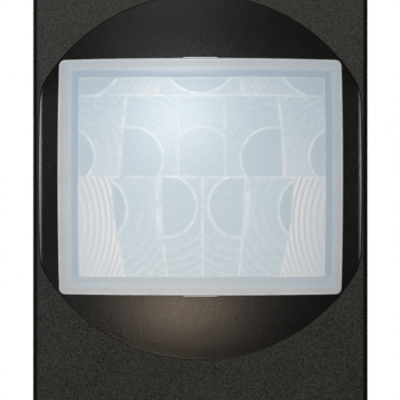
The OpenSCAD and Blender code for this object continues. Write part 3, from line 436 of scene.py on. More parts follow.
def make_plate():
    """Flat cover: a box with soft front edges, hollow behind, with the head's opening cut through."""
    low, high = COVER_LOW, COVER_HIGH
    plate = box("face_plate", low, high)
    open_up(plate)
    pick(plate, "EDGE", runs_back)
    bpy.ops.mesh.bevel(offset=PLATE_CORNER, segments=6, affect="EDGES")
    pick(plate, "EDGE", lambda e: all_at(e, 1, low[1]))
    bpy.ops.mesh.bevel(offset=PLATE_EDGE, segments=5, affect="EDGES")
    pick(plate, "FACE", lambda f: f.normal.y > SQUARE_ON)
    bpy.ops.mesh.inset(thickness=SIDE_WALL)
    bpy.ops.transform.resize(
        value=(1, 1, (high[2] - END_WALL) / (high[2] - SIDE_WALL)), center_override=(0, high[1], 0))
    bpy.ops.mesh.extrude_region_move(
        TRANSFORM_OT_translate={"value": (0, low[1] + PLATE_SKIN - high[1], 0)})
    close_up()
    opening = head_slab("opening", RIM_R + HEAD_GAP, FLAT_HALF + HEAD_GAP, HEAD_CORNER + HEAD_GAP,
                        low[1] - MM, low[1] + PLATE_SKIN + MM)
    join_cut(plate, opening, "DIFFERENCE")
    open_up(plate)
    pick(plate, "EDGE", lambda e: all_at(e, 1, low[1]) and any(abs(f.normal.y) < EDGE_ON for f in e.link_faces))
    bpy.ops.mesh.bevel(offset=OPENING_EDGE, segments=3, affect="EDGES")
    close_up()
    smooth(plate)
    even_out(plate)
    # Painted shade: marks the plate's rounded outer edge, which its finish paints dark as if turned away from the
    # light
    layer = plate.data.attributes.new("painted_edge_shade", "FLOAT", "POINT")
    for spot, vertex in zip(layer.data, plate.data.vertices):
        x, y, z = vertex.co
        outer = abs(x) > high[0] - PLATE_EDGE or abs(z) > high[2] - PLATE_EDGE
        spot.value = outer and EDGE_SHADE_SPAN[0] < y - low[1] < EDGE_SHADE_SPAN[1]
    place(plate, "base", "face_plastic", "front_cover")
    return plate


def ball_y(radius, x, z):
    """Where a ball about the dome's centre has its front, at x and at z above the head's centre."""
    return BALL_Y - numpy.sqrt(radius ** 2 - x ** 2 - z ** 2)


def ring_piece(name, rings):
    """A closed ring-shaped solid, skinned over its rings of points in order."""
    count, spokes = len(rings), len(rings[0])
    points = numpy.concatenate(rings)
    faces = [
        (i * spokes + k, i * spokes + (k + 1) % spokes,
         (i + 1) % count * spokes + (k + 1) % spokes, (i + 1) % count * spokes + k)
        for i in range(count) for k in range(spokes)]
    mesh = bpy.data.meshes.new(name)
    mesh.from_pydata(points.tolist(), [], faces)
    piece = bpy.data.objects.new(name, mesh)
    bpy.context.collection.objects.link(piece)
    open_up(piece)
    face_outwards()
    close_up()
    return piece


def spring_places():
    """How far the four springs stand from the head's centre, across and up."""
    out = SPRING_R + SPRING_WIRE / 2
    return SPRING_HIGH[0] - out, (SPRING_HIGH[2] - SPRING_LOW[2]) / 2 - out


def hollow_head(head):
    """Hollows above and below the lens, a pad and pin for each spring, and the rod over the push switch."""
    wall_z = LENS_HALF_Z + POCKET_WALL
    bpy.ops.object.select_all(action="DESELECT")
    bpy.ops.mesh.primitive_uv_sphere_add(segments=96, ring_count=64, radius=DOME_R - DOME_WALL,
                                         location=(0, BALL_Y, HEAD_Z))
    ball = settle("ball")
    hollow = head_slab("hollow", RIM_R - SKIRT_WALL, FLAT_HALF - SKIRT_WALL, HEAD_CORNER, HEAD_LOW[1], SKIRT_Y + MM)
    join_cut(hollow, ball, "INTERSECT")
    middle = box("middle", (-RIM_R, HEAD_LOW[1] - MM, HEAD_Z - wall_z), (RIM_R, SKIRT_Y + 2 * MM, HEAD_Z + wall_z))
    join_cut(hollow, middle, "DIFFERENCE")
    join_cut(head, hollow, "DIFFERENCE")
    guide_x, guide_z = spring_places()
    root = BALL_Y - math.sqrt((DOME_R - DOME_WALL / 2) ** 2 - (math.hypot(guide_x, guide_z) + PAD_R) ** 2)
    for x in (-guide_x, guide_x):
        for z in (-guide_z, guide_z):
            join_cut(head, rod("pad", x, HEAD_Z + z, PAD_R, root, SPRING_LOW[1]), "UNION")
            join_cut(head, rod("pin", x, HEAD_Z + z, PIN_R, root, PIN_TIP), "UNION")
    root = BALL_Y - math.sqrt((DOME_R - DOME_WALL / 2) ** 2 - (wall_z + 2 * ROD_R) ** 2)
    join_cut(head, rod("rod", 0, HEAD_Z + wall_z + ROD_R, ROD_R, root, ROD_TIP), "UNION")


def make_head():
    """Press head: the dome skinned from the lens pocket to the rim, with its skirt, lip, guides and rod."""
    angle = numpy.linspace(0, 2 * math.pi, HEAD_SPOKES, endpoint=False)
    c, s = numpy.cos(angle), numpy.sin(angle)
    pocket_x, pocket_z = LENS_HALF_X + LENS_GAP, LENS_HALF_Z + LENS_GAP
    pocket = round_rect(angle, pocket_x, pocket_z, LENS_CORNER + LENS_GAP)
    rim = cut_disc(angle, RIM_R, FLAT_HALF, HEAD_CORNER)
    ledge = round_rect(angle, pocket_x - LEDGE_W, pocket_z - LEDGE_W, LENS_CORNER)
    behind = round_rect(angle, pocket_x, pocket_z, SEAT_CORNER)
    # The round of the edge is wide along the straight sides, and never takes up all the dome beside the pocket.
    on_flat = ramp(RIM_R - rim, 0, FLAT_BLEND)
    edge = RIM_EDGE + (FLAT_EDGE - RIM_EDGE) * on_flat
    edge = numpy.minimum(edge, MOST_EDGE * (rim - pocket))

    def ring(radius, y):
        """Points of one ring: its distances from the centre and its depth."""
        depth = numpy.broadcast_to(y, radius.shape)
        return numpy.stack([radius * c, depth, HEAD_Z + radius * s], axis=1)

    def on_dome(radius):
        """Depth of the dome at those distances from the centre."""
        return ball_y(DOME_R, radius * c, radius * s)

    rings = [ring(pocket, SEAT_Y)]
    inner, outer = pocket, rim - edge
    lead = numpy.minimum(POCKET_EDGE, MOST_LEAD * (outer - inner))
    rings.append(ring(inner, on_dome(inner + lead) + lead))
    for step in numpy.linspace(0, 1, DOME_RINGS):
        radius = inner + lead + (outer - inner - lead) * step
        rings.append(ring(radius, on_dome(radius)))
    start_y = on_dome(outer)
    slope = numpy.arctan2(on_dome(rim) - start_y, edge)
    for step in numpy.linspace(0, 1, EDGE_RINGS)[1:]:
        bend = step * (math.pi / 2 - slope)
        out = edge * numpy.sin(step * math.pi / 2)
        back = edge * numpy.tan(slope) * step + edge * (1 - numpy.cos(bend))
        rings.append(ring(outer + out, start_y + back))
    for radius, y in (
            (rim, SKIRT_Y), (behind, SKIRT_Y), (behind, LEDGE_BACK), (ledge, LEDGE_BACK), (ledge, SEAT_Y)):
        rings.append(ring(radius, y))
    head = ring_piece("press_dome", rings)
    lip = head_slab("lip", RIM_R + LIP_W, FLAT_HALF, 0, LIP_FRONT, LIP_BACK)
    join_cut(lip, head_slab("core", RIM_R - MM, FLAT_HALF - MM, 0, LIP_FRONT - MM, LIP_BACK + MM), "DIFFERENCE")
    join_cut(head, lip, "UNION")
    hollow_head(head)
    smooth(head)
    place(head, "head", "head_plastic", "sensor_head")
    return head


def panel_facets(x, z):
    """Lens facets at points in millimetres from the head's centre: how many zones out from its facet's centre a point
    lies, how strong the painted highlight on its rings, how deep its grooves, how pale or dim its moulding, how strong
    the painted highlight on the facets' lines."""
    low, top = z < LOW_ROW, z > TOP_ROW
    rows = [low, top]
    ax = numpy.abs(x - numpy.select(rows, [LOW_MID, TOP_MID], PANEL_MID))
    low_1, low_2, mid_1, mid_2 = (out - bow * z ** 2 for out, bow in LOW_EDGES + MID_EDGES)

    def by_facet(low_values, mid_values, top_values):
        """One value for each facet, from the middle outwards."""
        return numpy.select(
            [low & (ax < low_1), low & (ax < low_2), low, top & (ax < TOP_EDGE), top, ax < mid_1, ax < mid_2],
            [*low_values, *top_values, *mid_values[:2]], mid_values[2])

    centre_x, centre_z, first, first_shine, shine, depth, dim = (
        by_facet(*values) for values in zip(zip(*LOW_FACETS), zip(*MID_FACETS), zip(*TOP_FACETS)))
    reach = numpy.hypot(ax - centre_x, z - centre_z)
    zones = (reach / first) ** 2
    nearest = numpy.maximum(numpy.rint(zones), 1)
    to_ring = numpy.abs(reach - first * numpy.sqrt(nearest))
    ring = ridge(to_ring, numpy.where(nearest == 1, first_shine, shine), RING_W)
    beside = low * (ax > low_1) * ridge(ax - low_1 - GLOW_OUT, GLOW_SHINE, GLOW_W) * ramp(z, *GLOW_Z)
    ring = numpy.maximum(ring, beside)
    dim = dim * ramp(zones, 1, 1 - ZONE_EDGE)

    # The low row's outer grooves get shallower and paler outwards.
    calm = numpy.clip(1 - (ax - low_2) / CALM_OVER, CALM_LEAST, 1)
    depth = numpy.where(low, calm, 1) * depth
    wave = numpy.cos(2 * math.pi * (zones - 0.5))
    fine = numpy.cos(2 * math.pi * PATCH_LINES * zones)
    outside = zones > 1
    fade = numpy.clip(1 - STRIPE_FADE * (ax - low_2), STRIPE_LEAST, 1)
    stripes = fade * (STRIPE_TONE + STRIPE_SWING * calm * wave)
    sides = outside * ramp(z, *SIDE_Z) * (SIDE_TONE + SIDE_SWING * wave)
    patches = outside * ramp(ax, *PATCH_X) * numpy.maximum(ramp(z, *PATCH_Z), PATCH_LEAST)
    patches = patches * (PATCH_TONE + PATCH_SWING * fine)
    pale = by_facet((0, 0, stripes), (0, 0, sides), (ARC_TONE * outside, patches))

    # Lines between the facets and between the rows.
    to_low = numpy.minimum(ax, numpy.minimum(numpy.abs(ax - low_1), numpy.abs(ax - low_2)))
    mid_seams = numpy.maximum(
        ridge(ax - mid_1, MID_SEAM_SHINE, SEAM_W), ridge(ax - mid_2, SIDE_SEAM_SHINE, SIDE_SEAM_W))
    seam = numpy.select(
        rows, [ridge(to_low, SEAM_SHINE, SEAM_W), ridge(ax - TOP_EDGE, TOP_SEAM_SHINE, SEAM_W)], mid_seams)
    to_row = numpy.minimum(numpy.abs(z - LOW_ROW), numpy.abs(z - TOP_ROW))
    seam = numpy.maximum(seam, ridge(to_row, SEAM_SHINE, SEAM_W))
    return zones, ring, depth, pale, dim, seam


def lens_moulding(x, z, inside):
    """Relief of the lens at points from the head's centre that lie that far inside its outline, and the layers of
    values that its finish reads. Border, band and panel go by how deep a point lies inside the panel's edge."""
    x, z, inside = x / MM, z / MM, inside / MM
    deep = numpy.minimum(PANEL_HALF_X - numpy.abs(x - PANEL_MID), PANEL_HALF_Z - numpy.abs(z))
    panel = soft_step(deep, 0, PANEL_SOFT)
    zones, ring, depth, pale, dim, seam = panel_facets(x, z)
    groove = panel * depth * (zones - numpy.floor(zones)) * (zones > 1)
    # Painted highlights: thin bright lines on the rings, the seams, the panel's outline and the lens's rim, which also
    # stand a little proud in the relief
    frame_lines = numpy.maximum(
        ridge(deep - OUTLINE_IN, OUTLINE_SHINE, OUTLINE_W), ridge(inside - RIM_IN, RIM_SHINE, RIM_W))
    bright = numpy.maximum(numpy.maximum(ring, seam) * panel, frame_lines)
    step = soft_step(deep, -BAND_W, STEP_SOFT) * (1 - panel)
    relief = (STEP_DEEP * step + GROOVE_DEEP * groove - LINE_HIGH * bright) * MM
    band = soft_step(deep, -BAND_W, BAND_SOFT) * (1 - panel)
    return relief, {
        "painted_highlight_line": bright,
        # Painted light from below: the band is paler along the bottom
        "blue_band": band * (1 - LOW_BAND_PAINTED_LIGHT * ramp(-z, *LOW_BAND_Z)),
        "pale_stripe": panel * pale,
        "panel": numpy.maximum(panel, TINGE * ramp(deep, *TINGE_SPAN)),
        "first_zone": panel * dim}


def edge_grid(half, pitch):
    """Grid lines across the lens: even in the middle, and closer over the rounded edges."""
    flat = half - LENS_EDGE
    cells = 2 * round(flat / pitch)
    turn = numpy.linspace(0, math.pi / 2, EDGE_STEPS + 1)[:-1]
    edge = half - LENS_EDGE * (1 - numpy.cos(turn))
    return numpy.concatenate([-edge, numpy.linspace(-flat, flat, cells + 1), edge[::-1]])


def lens_sheet():
    """A flat fine grid, and where each of its points belongs on the lens, with the corners drawn in round."""
    lines_x, lines_z = edge_grid(LENS_HALF_X, LENS_PITCH), edge_grid(LENS_HALF_Z, LENS_PITCH)
    bpy.ops.object.select_all(action="DESELECT")
    bpy.ops.mesh.primitive_grid_add(
        x_subdivisions=len(lines_x) - 1, y_subdivisions=len(lines_z) - 1, size=2, rotation=(math.pi / 2, 0, 0))
    lens = settle("domed_lens")
    co = numpy.empty(len(lens.data.vertices) * 3)
    lens.data.vertices.foreach_get("co", co)
    co = co.reshape(-1, 3)
    column = numpy.rint((co[:, 0] + 1) / 2 * (len(lines_x) - 1)).astype(int)
    row = numpy.rint((co[:, 2] + 1) / 2 * (len(lines_z) - 1)).astype(int)
    x, z = lines_x[column], lines_z[row]
    a = (numpy.abs(x) - (LENS_HALF_X - LENS_CORNER)) / LENS_CORNER
    b = (numpy.abs(z) - (LENS_HALF_Z - LENS_CORNER)) / LENS_CORNER
    corner = (a > 0) & (b > 0)
    pull = numpy.where(corner, numpy.maximum(a, b) / numpy.maximum(numpy.hypot(a, b), TINY), 1)
    x = numpy.where(corner, numpy.sign(x) * (LENS_HALF_X - LENS_CORNER * (1 - a * pull)), x)
    z = numpy.where(corner, numpy.sign(z) * (LENS_HALF_Z - LENS_CORNER * (1 - b * pull)), z)
    return lens, x, z


def inside_lens(x, z):
    """How far points lie inside the lens's outline."""
    across = numpy.abs(x) - (LENS_HALF_X - LENS_CORNER)
    up = numpy.abs(z) - (LENS_HALF_Z - LENS_CORNER)
    round_corner = numpy.hypot(numpy.maximum(across, 0), numpy.maximum(up, 0))
    return numpy.maximum(LENS_CORNER - round_corner - numpy.minimum(numpy.maximum(across, up), 0), 0)


def wall_up(lens):
    """Side walls behind the lens's sheet, with a tab at the top and the bottom, the seat, and the hollow behind."""

    def tab(x, z):
        """How far a wall stands out: by the tab's height at the middle of the top and the bottom."""
        return math.copysign(TAB_SHOWN, z) if abs(x) < TAB_HALF and abs(z) > LENS_HALF_Z / 2 else 0

    def inner(x, z, share):
        """A point of the hollow's dome, that share of the way out from the middle."""
        x, z = share * x, share * z
        return x, ball_y(LENS_R - LENS_WALL, x, z), z

    wall_x, wall_z = 1 - LENS_WALL / LENS_HALF_X, 1 - LENS_WALL / LENS_HALF_Z
    steps = [
        lambda x, y, z: (x, y + HAIR, z + tab(x, z)),
        lambda x, y, z: (x, y + WALL_SHARE * (SEAT_Y - y), z),
        lambda x, y, z: (x, y + HAIR, math.copysign(min(abs(z), LENS_HALF_Z), z)),
        lambda x, y, z: (x, SEAT_Y, z),
        lambda x, y, z: (x * wall_x, y, z * wall_z),
        *[lambda x, y, z, share=share: inner(x, z, share) for share in HOLLOW_SHARES]]
    open_up(lens)
    bpy.ops.mesh.select_mode(type="EDGE")
    bpy.ops.mesh.select_all(action="SELECT")
    bpy.ops.mesh.region_to_loop()
    for step in steps:
        bpy.ops.mesh.extrude_edges_move()
        mesh = bmesh.from_edit_mesh(lens.data)
        for v in mesh.verts:
            if v.select:
                x, y, z = step(v.co.x, v.co.y, v.co.z - HEAD_Z)
                v.co = (x, y, HEAD_Z + z)
        bmesh.update_edit_mesh(lens.data)
    bpy.ops.mesh.merge(type="CENTER")
    face_outwards()
    close_up()


def make_lens():
    """Domed lens: a fine sheet pressed into border, band and grooved facets, with walls, tabs and a hollow back."""
    lens, x, z = lens_sheet()
    inside = inside_lens(x, z)
    to_flat = LENS_EDGE - numpy.minimum(inside, LENS_EDGE)
    fall = LENS_EDGE - numpy.sqrt(numpy.maximum(LENS_EDGE ** 2 - to_flat ** 2, 0))
    relief, layers = lens_moulding(x, z, inside)
    y = numpy.maximum(ball_y(LENS_R, x, z) + fall + relief, LENS_LOW[1])
    lens.data.vertices.foreach_set("co", numpy.stack([x, y, HEAD_Z + z], axis=1).ravel())
    lens.data.update()
    for name, values in layers.items():
        layer = lens.data.attributes.new(name, "FLOAT", "POINT")
        layer.data.foreach_set("value", values)
    wall_up(lens)
    smooth(lens, angle=60)
    place(lens, "head", "lens_plastic", "fresnel_lens")
    return lens


def make_springs():
    """Return springs: a wire wound into one coil, with its ends closed, copied to the four guides."""
    low, high = SPRING_LOW, SPRING_HIGH
    guide_x, guide_z = spring_places()
    bpy.ops.object.select_all(action="DESELECT")
    bpy.ops.mesh.primitive_circle_add(
        vertices=SPRING_SIDES, radius=SPRING_WIRE / 2, location=(SPRING_R, 0, 0), rotation=(math.pi / 2, 0, 0))
    coil = settle("return_springs_wire")
    wind = coil.modifiers.new("wind", "SCREW")
    wind.steps = wind.render_steps = SPRING_STEPS
    wind.iterations = SPRING_TURNS
    wind.screw_offset = (high[1] - low[1] - SPRING_WIRE) / SPRING_TURNS
    bpy.ops.object.modifier_apply(modifier=wind.name)
    open_up(coil)
    bpy.ops.mesh.select_all(action="SELECT")
    bpy.ops.mesh.fill_holes(sides=0)
    face_outwards()
    close_up()
    coil.location = (guide_x, high[1] - SPRING_WIRE / 2, HEAD_Z + guide_z)
    coil.rotation_euler = (math.pi / 2, 0, 0)
    copies = [coil]
    for x, z in ((-guide_x, guide_z), (guide_x, -guide_z), (-guide_x, -guide_z)):
        other = coil.copy()
        other.data = coil.data.copy()
        other.location = (x, coil.location.y, HEAD_Z + z)
        bpy.context.collection.objects.link(other)
        copies.append(other)
    hold(coil)
    for other in copies:
        other.select_set(True)
    bpy.ops.object.join()
    settle("return_springs_wire")
    smooth(coil, angle=50)
    place(coil, "base", "spring_steel", "return_springs")
    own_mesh(coil)
    return coil


def soften(node, name, width):
    """A copy of a frame node with its points merged and its edges broken by a small round."""
    piece = NODES[node].copy()
    piece.data = NODES[node].data.copy()
    piece.parent = None
    bpy.context.collection.objects.link(piece)
    piece.name = piece.data.name = name
    hold(piece)
    bpy.ops.mesh.customdata_custom_splitnormals_clear()
    open_up(piece)
    bpy.ops.mesh.select_all(action="SELECT")
    bpy.ops.mesh.remove_doubles(threshold=POINT_GAP)
    bpy.ops.mesh.dissolve_limited(angle_limit=math.radians(FLAT_ANGLE))
    close_up()
    broken = piece.modifiers.new("broken", "BEVEL")
    broken.width, broken.segments, broken.angle_limit = width, BREAK_STEPS, math.radians(BREAK_ANGLE)
    broken.limit_method = "ANGLE"
    broken.use_clamp_overlap = True
    bpy.ops.object.modifier_apply(modifier=broken.name)
    smooth(piece, angle=CRISP_ANGLE)
    even_out(piece)
    place(piece, "base", SLOTS[node], node)
    return piece


def slot_tool(name, low, high, corner):
    """A box whose edges along Y are rounded."""
    tool = box(name, low, high)
    open_up(tool)
    pick(tool, "EDGE", runs_back)
    bpy.ops.mesh.bevel(offset=corner, segments=6, affect="EDGES")
    close_up()
    return tool


def dress_box(housing):
    """Moulded detail of the rear box: parting line, bare recess, stripping gauge, cooling grooves, window frames."""
    half_x, back, half_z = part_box("rear_housing")[1]

    line = box("line", (-half_x - MM, PARTING_Y, -half_z - MM), (half_x + MM, PARTING_Y + PARTING_W, half_z + MM))
    kept = slot_tool("kept", (PARTING_DEEP - half_x, 0, PARTING_DEEP - half_z),
                     (half_x - PARTING_DEEP, back, half_z - PARTING_DEEP), BOX_CORNER)
    join_cut(line, kept, "DIFFERENCE")
    join_cut(housing, line, "DIFFERENCE")

    x, z = RECESS_HALF
    recess = slot_tool("recess", (-x, back - RECESS_DEEP, -z), (x, back + MM, z), RECESS_CORNER)
    join_cut(housing, recess, "DIFFERENCE")
    x, z = GAUGE_W / 2, GAUGE_LONG / 2
    gauge = slot_tool("gauge", (GAUGE_X - x, back - GAUGE_DEEP, -z), (GAUGE_X + x, back + MM, z), GAUGE_CORNER)
    join_cut(housing, gauge, "DIFFERENCE")

    for side in (-1, 1):
        for i in range(VENTS):
            x = (i - (VENTS - 1) / 2) * VENT_PITCH
            z = sorted((side * (half_z - VENT_DEEP), side * (half_z + MM)))
            vent = box("vent", (x - VENT_W / 2, VENT_Y[0], z[0]), (x + VENT_W / 2, VENT_Y[1], z[1]))
            join_cut(housing, vent, "DIFFERENCE")

    low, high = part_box("terminal_screws")
    mid_y = (low[1] + high[1]) / 2
    mid_z = high[2] - (high[1] - low[1]) / 2
    reach = WINDOW_HALF + FRAME_W
    for side, z in ((-1, mid_z), (-1, -mid_z), (1, mid_z)):
        x = sorted((side * (half_x - FRAME_ROOT), side * (half_x + FRAME_OUT)))
        window = box("window_frame", (x[0], mid_y - reach, z - reach), (x[1], mid_y + reach, z + reach))
        hole = box("hole", (x[0] - MM, mid_y - WINDOW_HALF, z - WINDOW_HALF),
                   (x[1] + MM, mid_y + WINDOW_HALF, z + WINDOW_HALF))
        join_cut(window, hole, "DIFFERENCE")
        join_cut(housing, window, "UNION")
    smooth(housing, angle=CRISP_ANGLE)
    even_out(housing)


def add(tree, kind, options=None, **sockets):
    """Adds a node: its options, then its sockets by name, each set to a value or linked to an output."""
    made = tree.nodes.new("ShaderNode" + kind)
    for key, value in (options or {}).items():
        setattr(made, key, value)
    for key, value in sockets.items():
        wire(tree, made, key.replace("_", " "), value)
    return made


def wire(tree, made, name, value):
    """Sets a node's socket to a value, or links it to an output."""
    socket = made.inputs[int(name)] if name.isdigit() else made.inputs[name]
    if isinstance(value, bpy.types.NodeSocket):
        tree.links.new(value, socket)
    else:
        socket.default_value = value


def between(tree, value, low, high, a, b):
    """A value that goes from a to b while another goes from low to high."""
    made = add(tree, "MapRange")
    for key, number in zip(("Value", "From Min", "From Max", "To Min", "To Max"), (value, low, high, a, b)):
        wire(tree, made, key, number)
    return made.outputs["Result"]


def mixed(tree, factor, first, second):
    """Two values mixed by a factor."""
    made = add(tree, "Mix", {"data_type": "FLOAT"})
    for key, number in zip("023", (factor, first, second)):
        wire(tree, made, key, number)
    return made.outputs[0]


class Finish:
    """A material in the making: its tree, its shader and the surface's own place."""

    def __init__(self, name, **sockets):
        self.material = bpy.data.materials.new(name)
        self.material.use_nodes = True
        self.tree = self.material.node_tree
        self.shader = self.tree.nodes["Principled BSDF"]
        self.spot = add(self.tree, "TexCoord").outputs["Object"]
        self.set(**sockets)

    def set(self, **sockets):
        """Sets or links the shader's sockets by name."""
        for key, value in sockets.items():
            wire(self.tree, self.shader, key.replace("_", " "), value)

    def stretched(self, x, y, z):
        """The surface's place, stretched along each axis."""
        return add(self.tree, "Mapping", Vector=self.spot, Scale=(x, y, z)).outputs["Vector"]

    def noise(self, size, detail=2.0, rough=0.5, spot=None):
        """Soft noise whose blots are about that size in millimetres."""
        return add(self.tree, "TexNoise", Vector=spot or self.spot, Scale=1 / (size * MM), Detail=detail,
                   Roughness=rough).outputs["Fac"]

    def spread(self, value, a=0.0, b=1.0, span=NOISE_SPAN):
        """A value that mostly lies within a span, laid out from a to b."""
        return between(self.tree, value, *span, a, b)

    def blend(self, factor, first, second):
        """Two colours mixed by a factor."""
        made = add(self.tree, "Mix", {"data_type": "RGBA"})
        wire(self.tree, made, "0", factor)
        wire(self.tree, made, "6", first)
        wire(self.tree, made, "7", second)
        return made.outputs[2]

    def layer(self, name):
        """One of the piece's own layers of values."""
        return add(self.tree, "Attribute", {"attribute_name": name}).outputs["Fac"]

    def math(self, how, first, second):
        """A sum on two values."""
        made = add(self.tree, "Math", {"operation": how})
        wire(self.tree, made, "0", first)
        wire(self.tree, made, "1", second)
        return made.outputs[0]

    def bump(self, height, depth):
        """Fine relief, its depth in millimetres."""
        made = add(self.tree, "Bump", Strength=1.0, Distance=depth * MM, Height=height)
        self.set(Normal=made.outputs["Normal"])

    def sparked(self, grain, depth, dark, light):
        """A sparked surface of that grain and depth. Gives its mottled colour and its slow drift."""
        fine = self.noise(grain, detail=3.0, rough=0.6)
        slow = self.noise(BLOT)
        mottle = self.math("ADD", self.spread(fine, 0, GRAIN_SHARE, GRAIN_SPAN), self.spread(slow, 0, 1 - GRAIN_SHARE))
        self.bump(fine, depth)
        return self.blend(mottle, tone(*dark), tone(*light)), slow


def moulded(name, dark, light, grain, depth, rough=(0.4, 0.5), gloss=0.5):
    """Moulded plastic: a tone that drifts slowly and by the grain, over a sparked surface."""
    made = Finish(name, Specular_IOR_Level=gloss)
    colour, slow = made.sparked(grain, depth, dark, light)
    made.set(Base_Color=colour, Roughness=made.spread(slow, *rough))
    return made.material


def face_finish():
    """Sparked plastic of the cover, with painted shade: its rounded edge is painted dark as if turned away from the
    light.
    """
    made = Finish("sparked_face", Specular_IOR_Level=0.25)
    colour, slow = made.sparked(grain=0.19, depth=0.02, dark=(3, 3, 2), light=(55, 54, 48))
    # Painted shade on the rounded outer edge
    colour = made.blend(made.layer("painted_edge_shade"), colour, tone(8, 8, 7))
    made.set(Base_Color=colour, Roughness=made.spread(slow, 0.48, 0.54))
    return made.material


def plated(name, dark, light, rough, along=(1, 1, 1), grain=0.25):
    """Plated metal: a drawn grain along one axis and soft spots in the plating."""
    made = Finish(name, Metallic=1.0)
    drawn = made.noise(grain, detail=3.0, rough=0.6, spot=made.stretched(*along))
    spots = made.noise(2.5, detail=3.0)
    made.set(Base_Color=made.blend(made.spread(spots), tone(*dark), tone(*light)),
             Roughness=made.spread(drawn, *rough, DRAWN_SPAN))
    made.bump(drawn, FINE_RELIEF)
    return made.material


def lens_finish():
    """Milky lens plastic: neutral border, blue band painted paler along the bottom as if lit from below, pale blue
    panel, pale stripes, and painted highlights along its lines.
    """
    made = Finish("milky_lens", Specular_IOR_Level=0.6, Coat_Weight=0.75, Coat_Roughness=0.36)
    soft = made.noise(0.5, detail=3.0)
    cloud = made.noise(9.0)
    border = made.blend(made.spread(cloud), tone(172, 177, 182), tone(179, 183, 187))
    panel = made.blend(made.spread(soft), tone(177, 194, 206), tone(186, 201, 212))
    panel = made.blend(made.layer("first_zone"), panel, tone(174, 190, 202))
    colour = made.blend(made.layer("panel"), border, panel)
    colour = made.blend(made.layer("blue_band"), colour, tone(161, 178, 194))
    colour = made.blend(made.layer("pale_stripe"), colour, tone(212, 212, 217))
    # Painted highlights along the lens's lines, broken up by a noise
    painted_line_shine = made.math("MULTIPLY", made.layer("painted_highlight_line"), made.spread(made.noise(1.2, detail=3.0), 0.25))
    colour = made.blend(painted_line_shine, colour, tone(224, 230, 234))
    made.set(Base_Color=colour, Roughness=made.spread(soft, 0.38, 0.46))
    made.bump(soft, FINE_RELIEF)
    return made.material


def paper_finish():
    """Pressed insulating sheet: pale grey, with long fibres."""
    made = Finish("pressed_sheet", Specular_IOR_Level=0.2)
    fibre = made.noise(0.4, detail=4.0, rough=0.6, spot=made.stretched(1, 1, 0.15))
    made.set(Base_Color=made.blend(made.spread(fibre), tone(150, 156, 160), tone(178, 183, 186)),
             Roughness=made.spread(fibre, 0.6, 0.8))
    made.bump(fibre, 0.03)
    return made.material


def board_finish():
    """Circuit board: green mask over a weave, with copper runs showing through."""
    made = Finish("masked_board", Specular_IOR_Level=0.5)
    flat = add(made.tree, "Mapping", Vector=made.spot, Rotation=(math.pi / 2, 0, 0)).outputs["Vector"]
    runs = add(made.tree, "TexBrick", {"offset": 0.35}, Vector=flat, Scale=1 / (4 * MM), Mortar_Size=0.07,
               Brick_Width=0.9, Row_Height=0.32).outputs["Fac"]
    weave = made.noise(0.3, detail=3.0)
    mask = made.blend(made.spread(weave), tone(18, 74, 44), tone(26, 90, 54))
    made.set(Base_Color=made.blend(runs, mask, tone(44, 122, 74)),
             Roughness=made.spread(weave, 0.28, 0.4))
    made.bump(runs, 0.03)
    return made.material


def tape_finish():
    """Wound tape: turns lying beside each other round the core's leg."""
    made = Finish("wound_tape", Specular_IOR_Level=0.45)
    turns = add(made.tree, "TexWave", {"bands_direction": "Y"}, Vector=made.spot, Scale=1 / (6 * MM), Distortion=0.4,
                Detail=2.0, Detail_Scale=2.0).outputs["Fac"]
    made.set(Base_Color=made.blend(turns, tone(186, 140, 40), tone(222, 182, 74)),
             Roughness=made.spread(turns, 0.32, 0.5, span=(0, 1)))
    made.bump(turns, 0.05)
    return made.material


def glass_finish(name, colour, rough):
    """Coloured filter or resin, with a faint haze in it."""
    made = Finish(name, IOR=1.5)
    haze = made.noise(0.6, detail=3.0)
    pale = [min(255, HAZE_LIFT + HAZE_GAIN * c) for c in colour]
    made.set(Base_Color=made.blend(made.spread(haze), tone(*colour), tone(*pale)),
             Roughness=made.spread(haze, rough, rough + HAZE_ROUGH))
    made.bump(haze, FINE_RELIEF)
    return made.material


def lamp(name, spot, aim, size, power, tall=None, colour=(1, 1, 1), on=(), gloss=True, matt=True):
    """A soft square lamp at a spot, aimed at a point, or an oval one where its height is given. It can light some
    pieces alone, or their gloss or matt alone."""
    data = bpy.data.lights.new(name, "AREA")
    data.size, data.energy, data.color = size, power, colour
    if tall:
        data.shape, data.size_y = "ELLIPSE", tall
    made = bpy.data.objects.new(name, data)
    bpy.context.collection.objects.link(made)
    made.location = spot
    way = [b - a for a, b in zip(spot, aim)]
    flat = math.hypot(way[0], way[1])
    made.rotation_euler = (math.pi / 2 + math.atan2(way[2], flat), 0, math.atan2(-way[0], way[1]))
    made.visible_camera = False
    made.visible_glossy, made.visible_diffuse = gloss, matt
    if on:
        made.light_linking.receiver_collection = bpy.data.collections.new(name)
    for piece in on:
        made.light_linking.receiver_collection.objects.link(piece)
    return made


def floor_finish():
    """Pale floor that keeps the shadow near the switch and runs out into the white surroundings."""
    made = Finish("pale_floor", Roughness=0.9, Specular_IOR_Level=0.1)
    made.set(Base_Color=made.blend(made.noise(40), tone(232, 231, 229), tone(238, 237, 235)))
    tree = made.tree
    away = add(tree, "VectorMath", {"operation": "LENGTH"})
    tree.links.new(made.spot, away.inputs[0])
    fade = made.spread(away.outputs["Value"], span=FLOOR_FADE)
    seen = made.math("MULTIPLY", fade, add(tree, "LightPath").outputs["Is Camera Ray"])
    white = add(tree, "Emission", Color=WHITE, Strength=1.0)
    both = add(tree, "MixShader", Fac=seen)
    tree.links.new(made.shader.outputs[0], both.inputs[1])
    tree.links.new(white.outputs[0], both.inputs[2])
    tree.links.new(both.outputs[0], tree.nodes["Material Output"].inputs["Surface"])
    return made.material


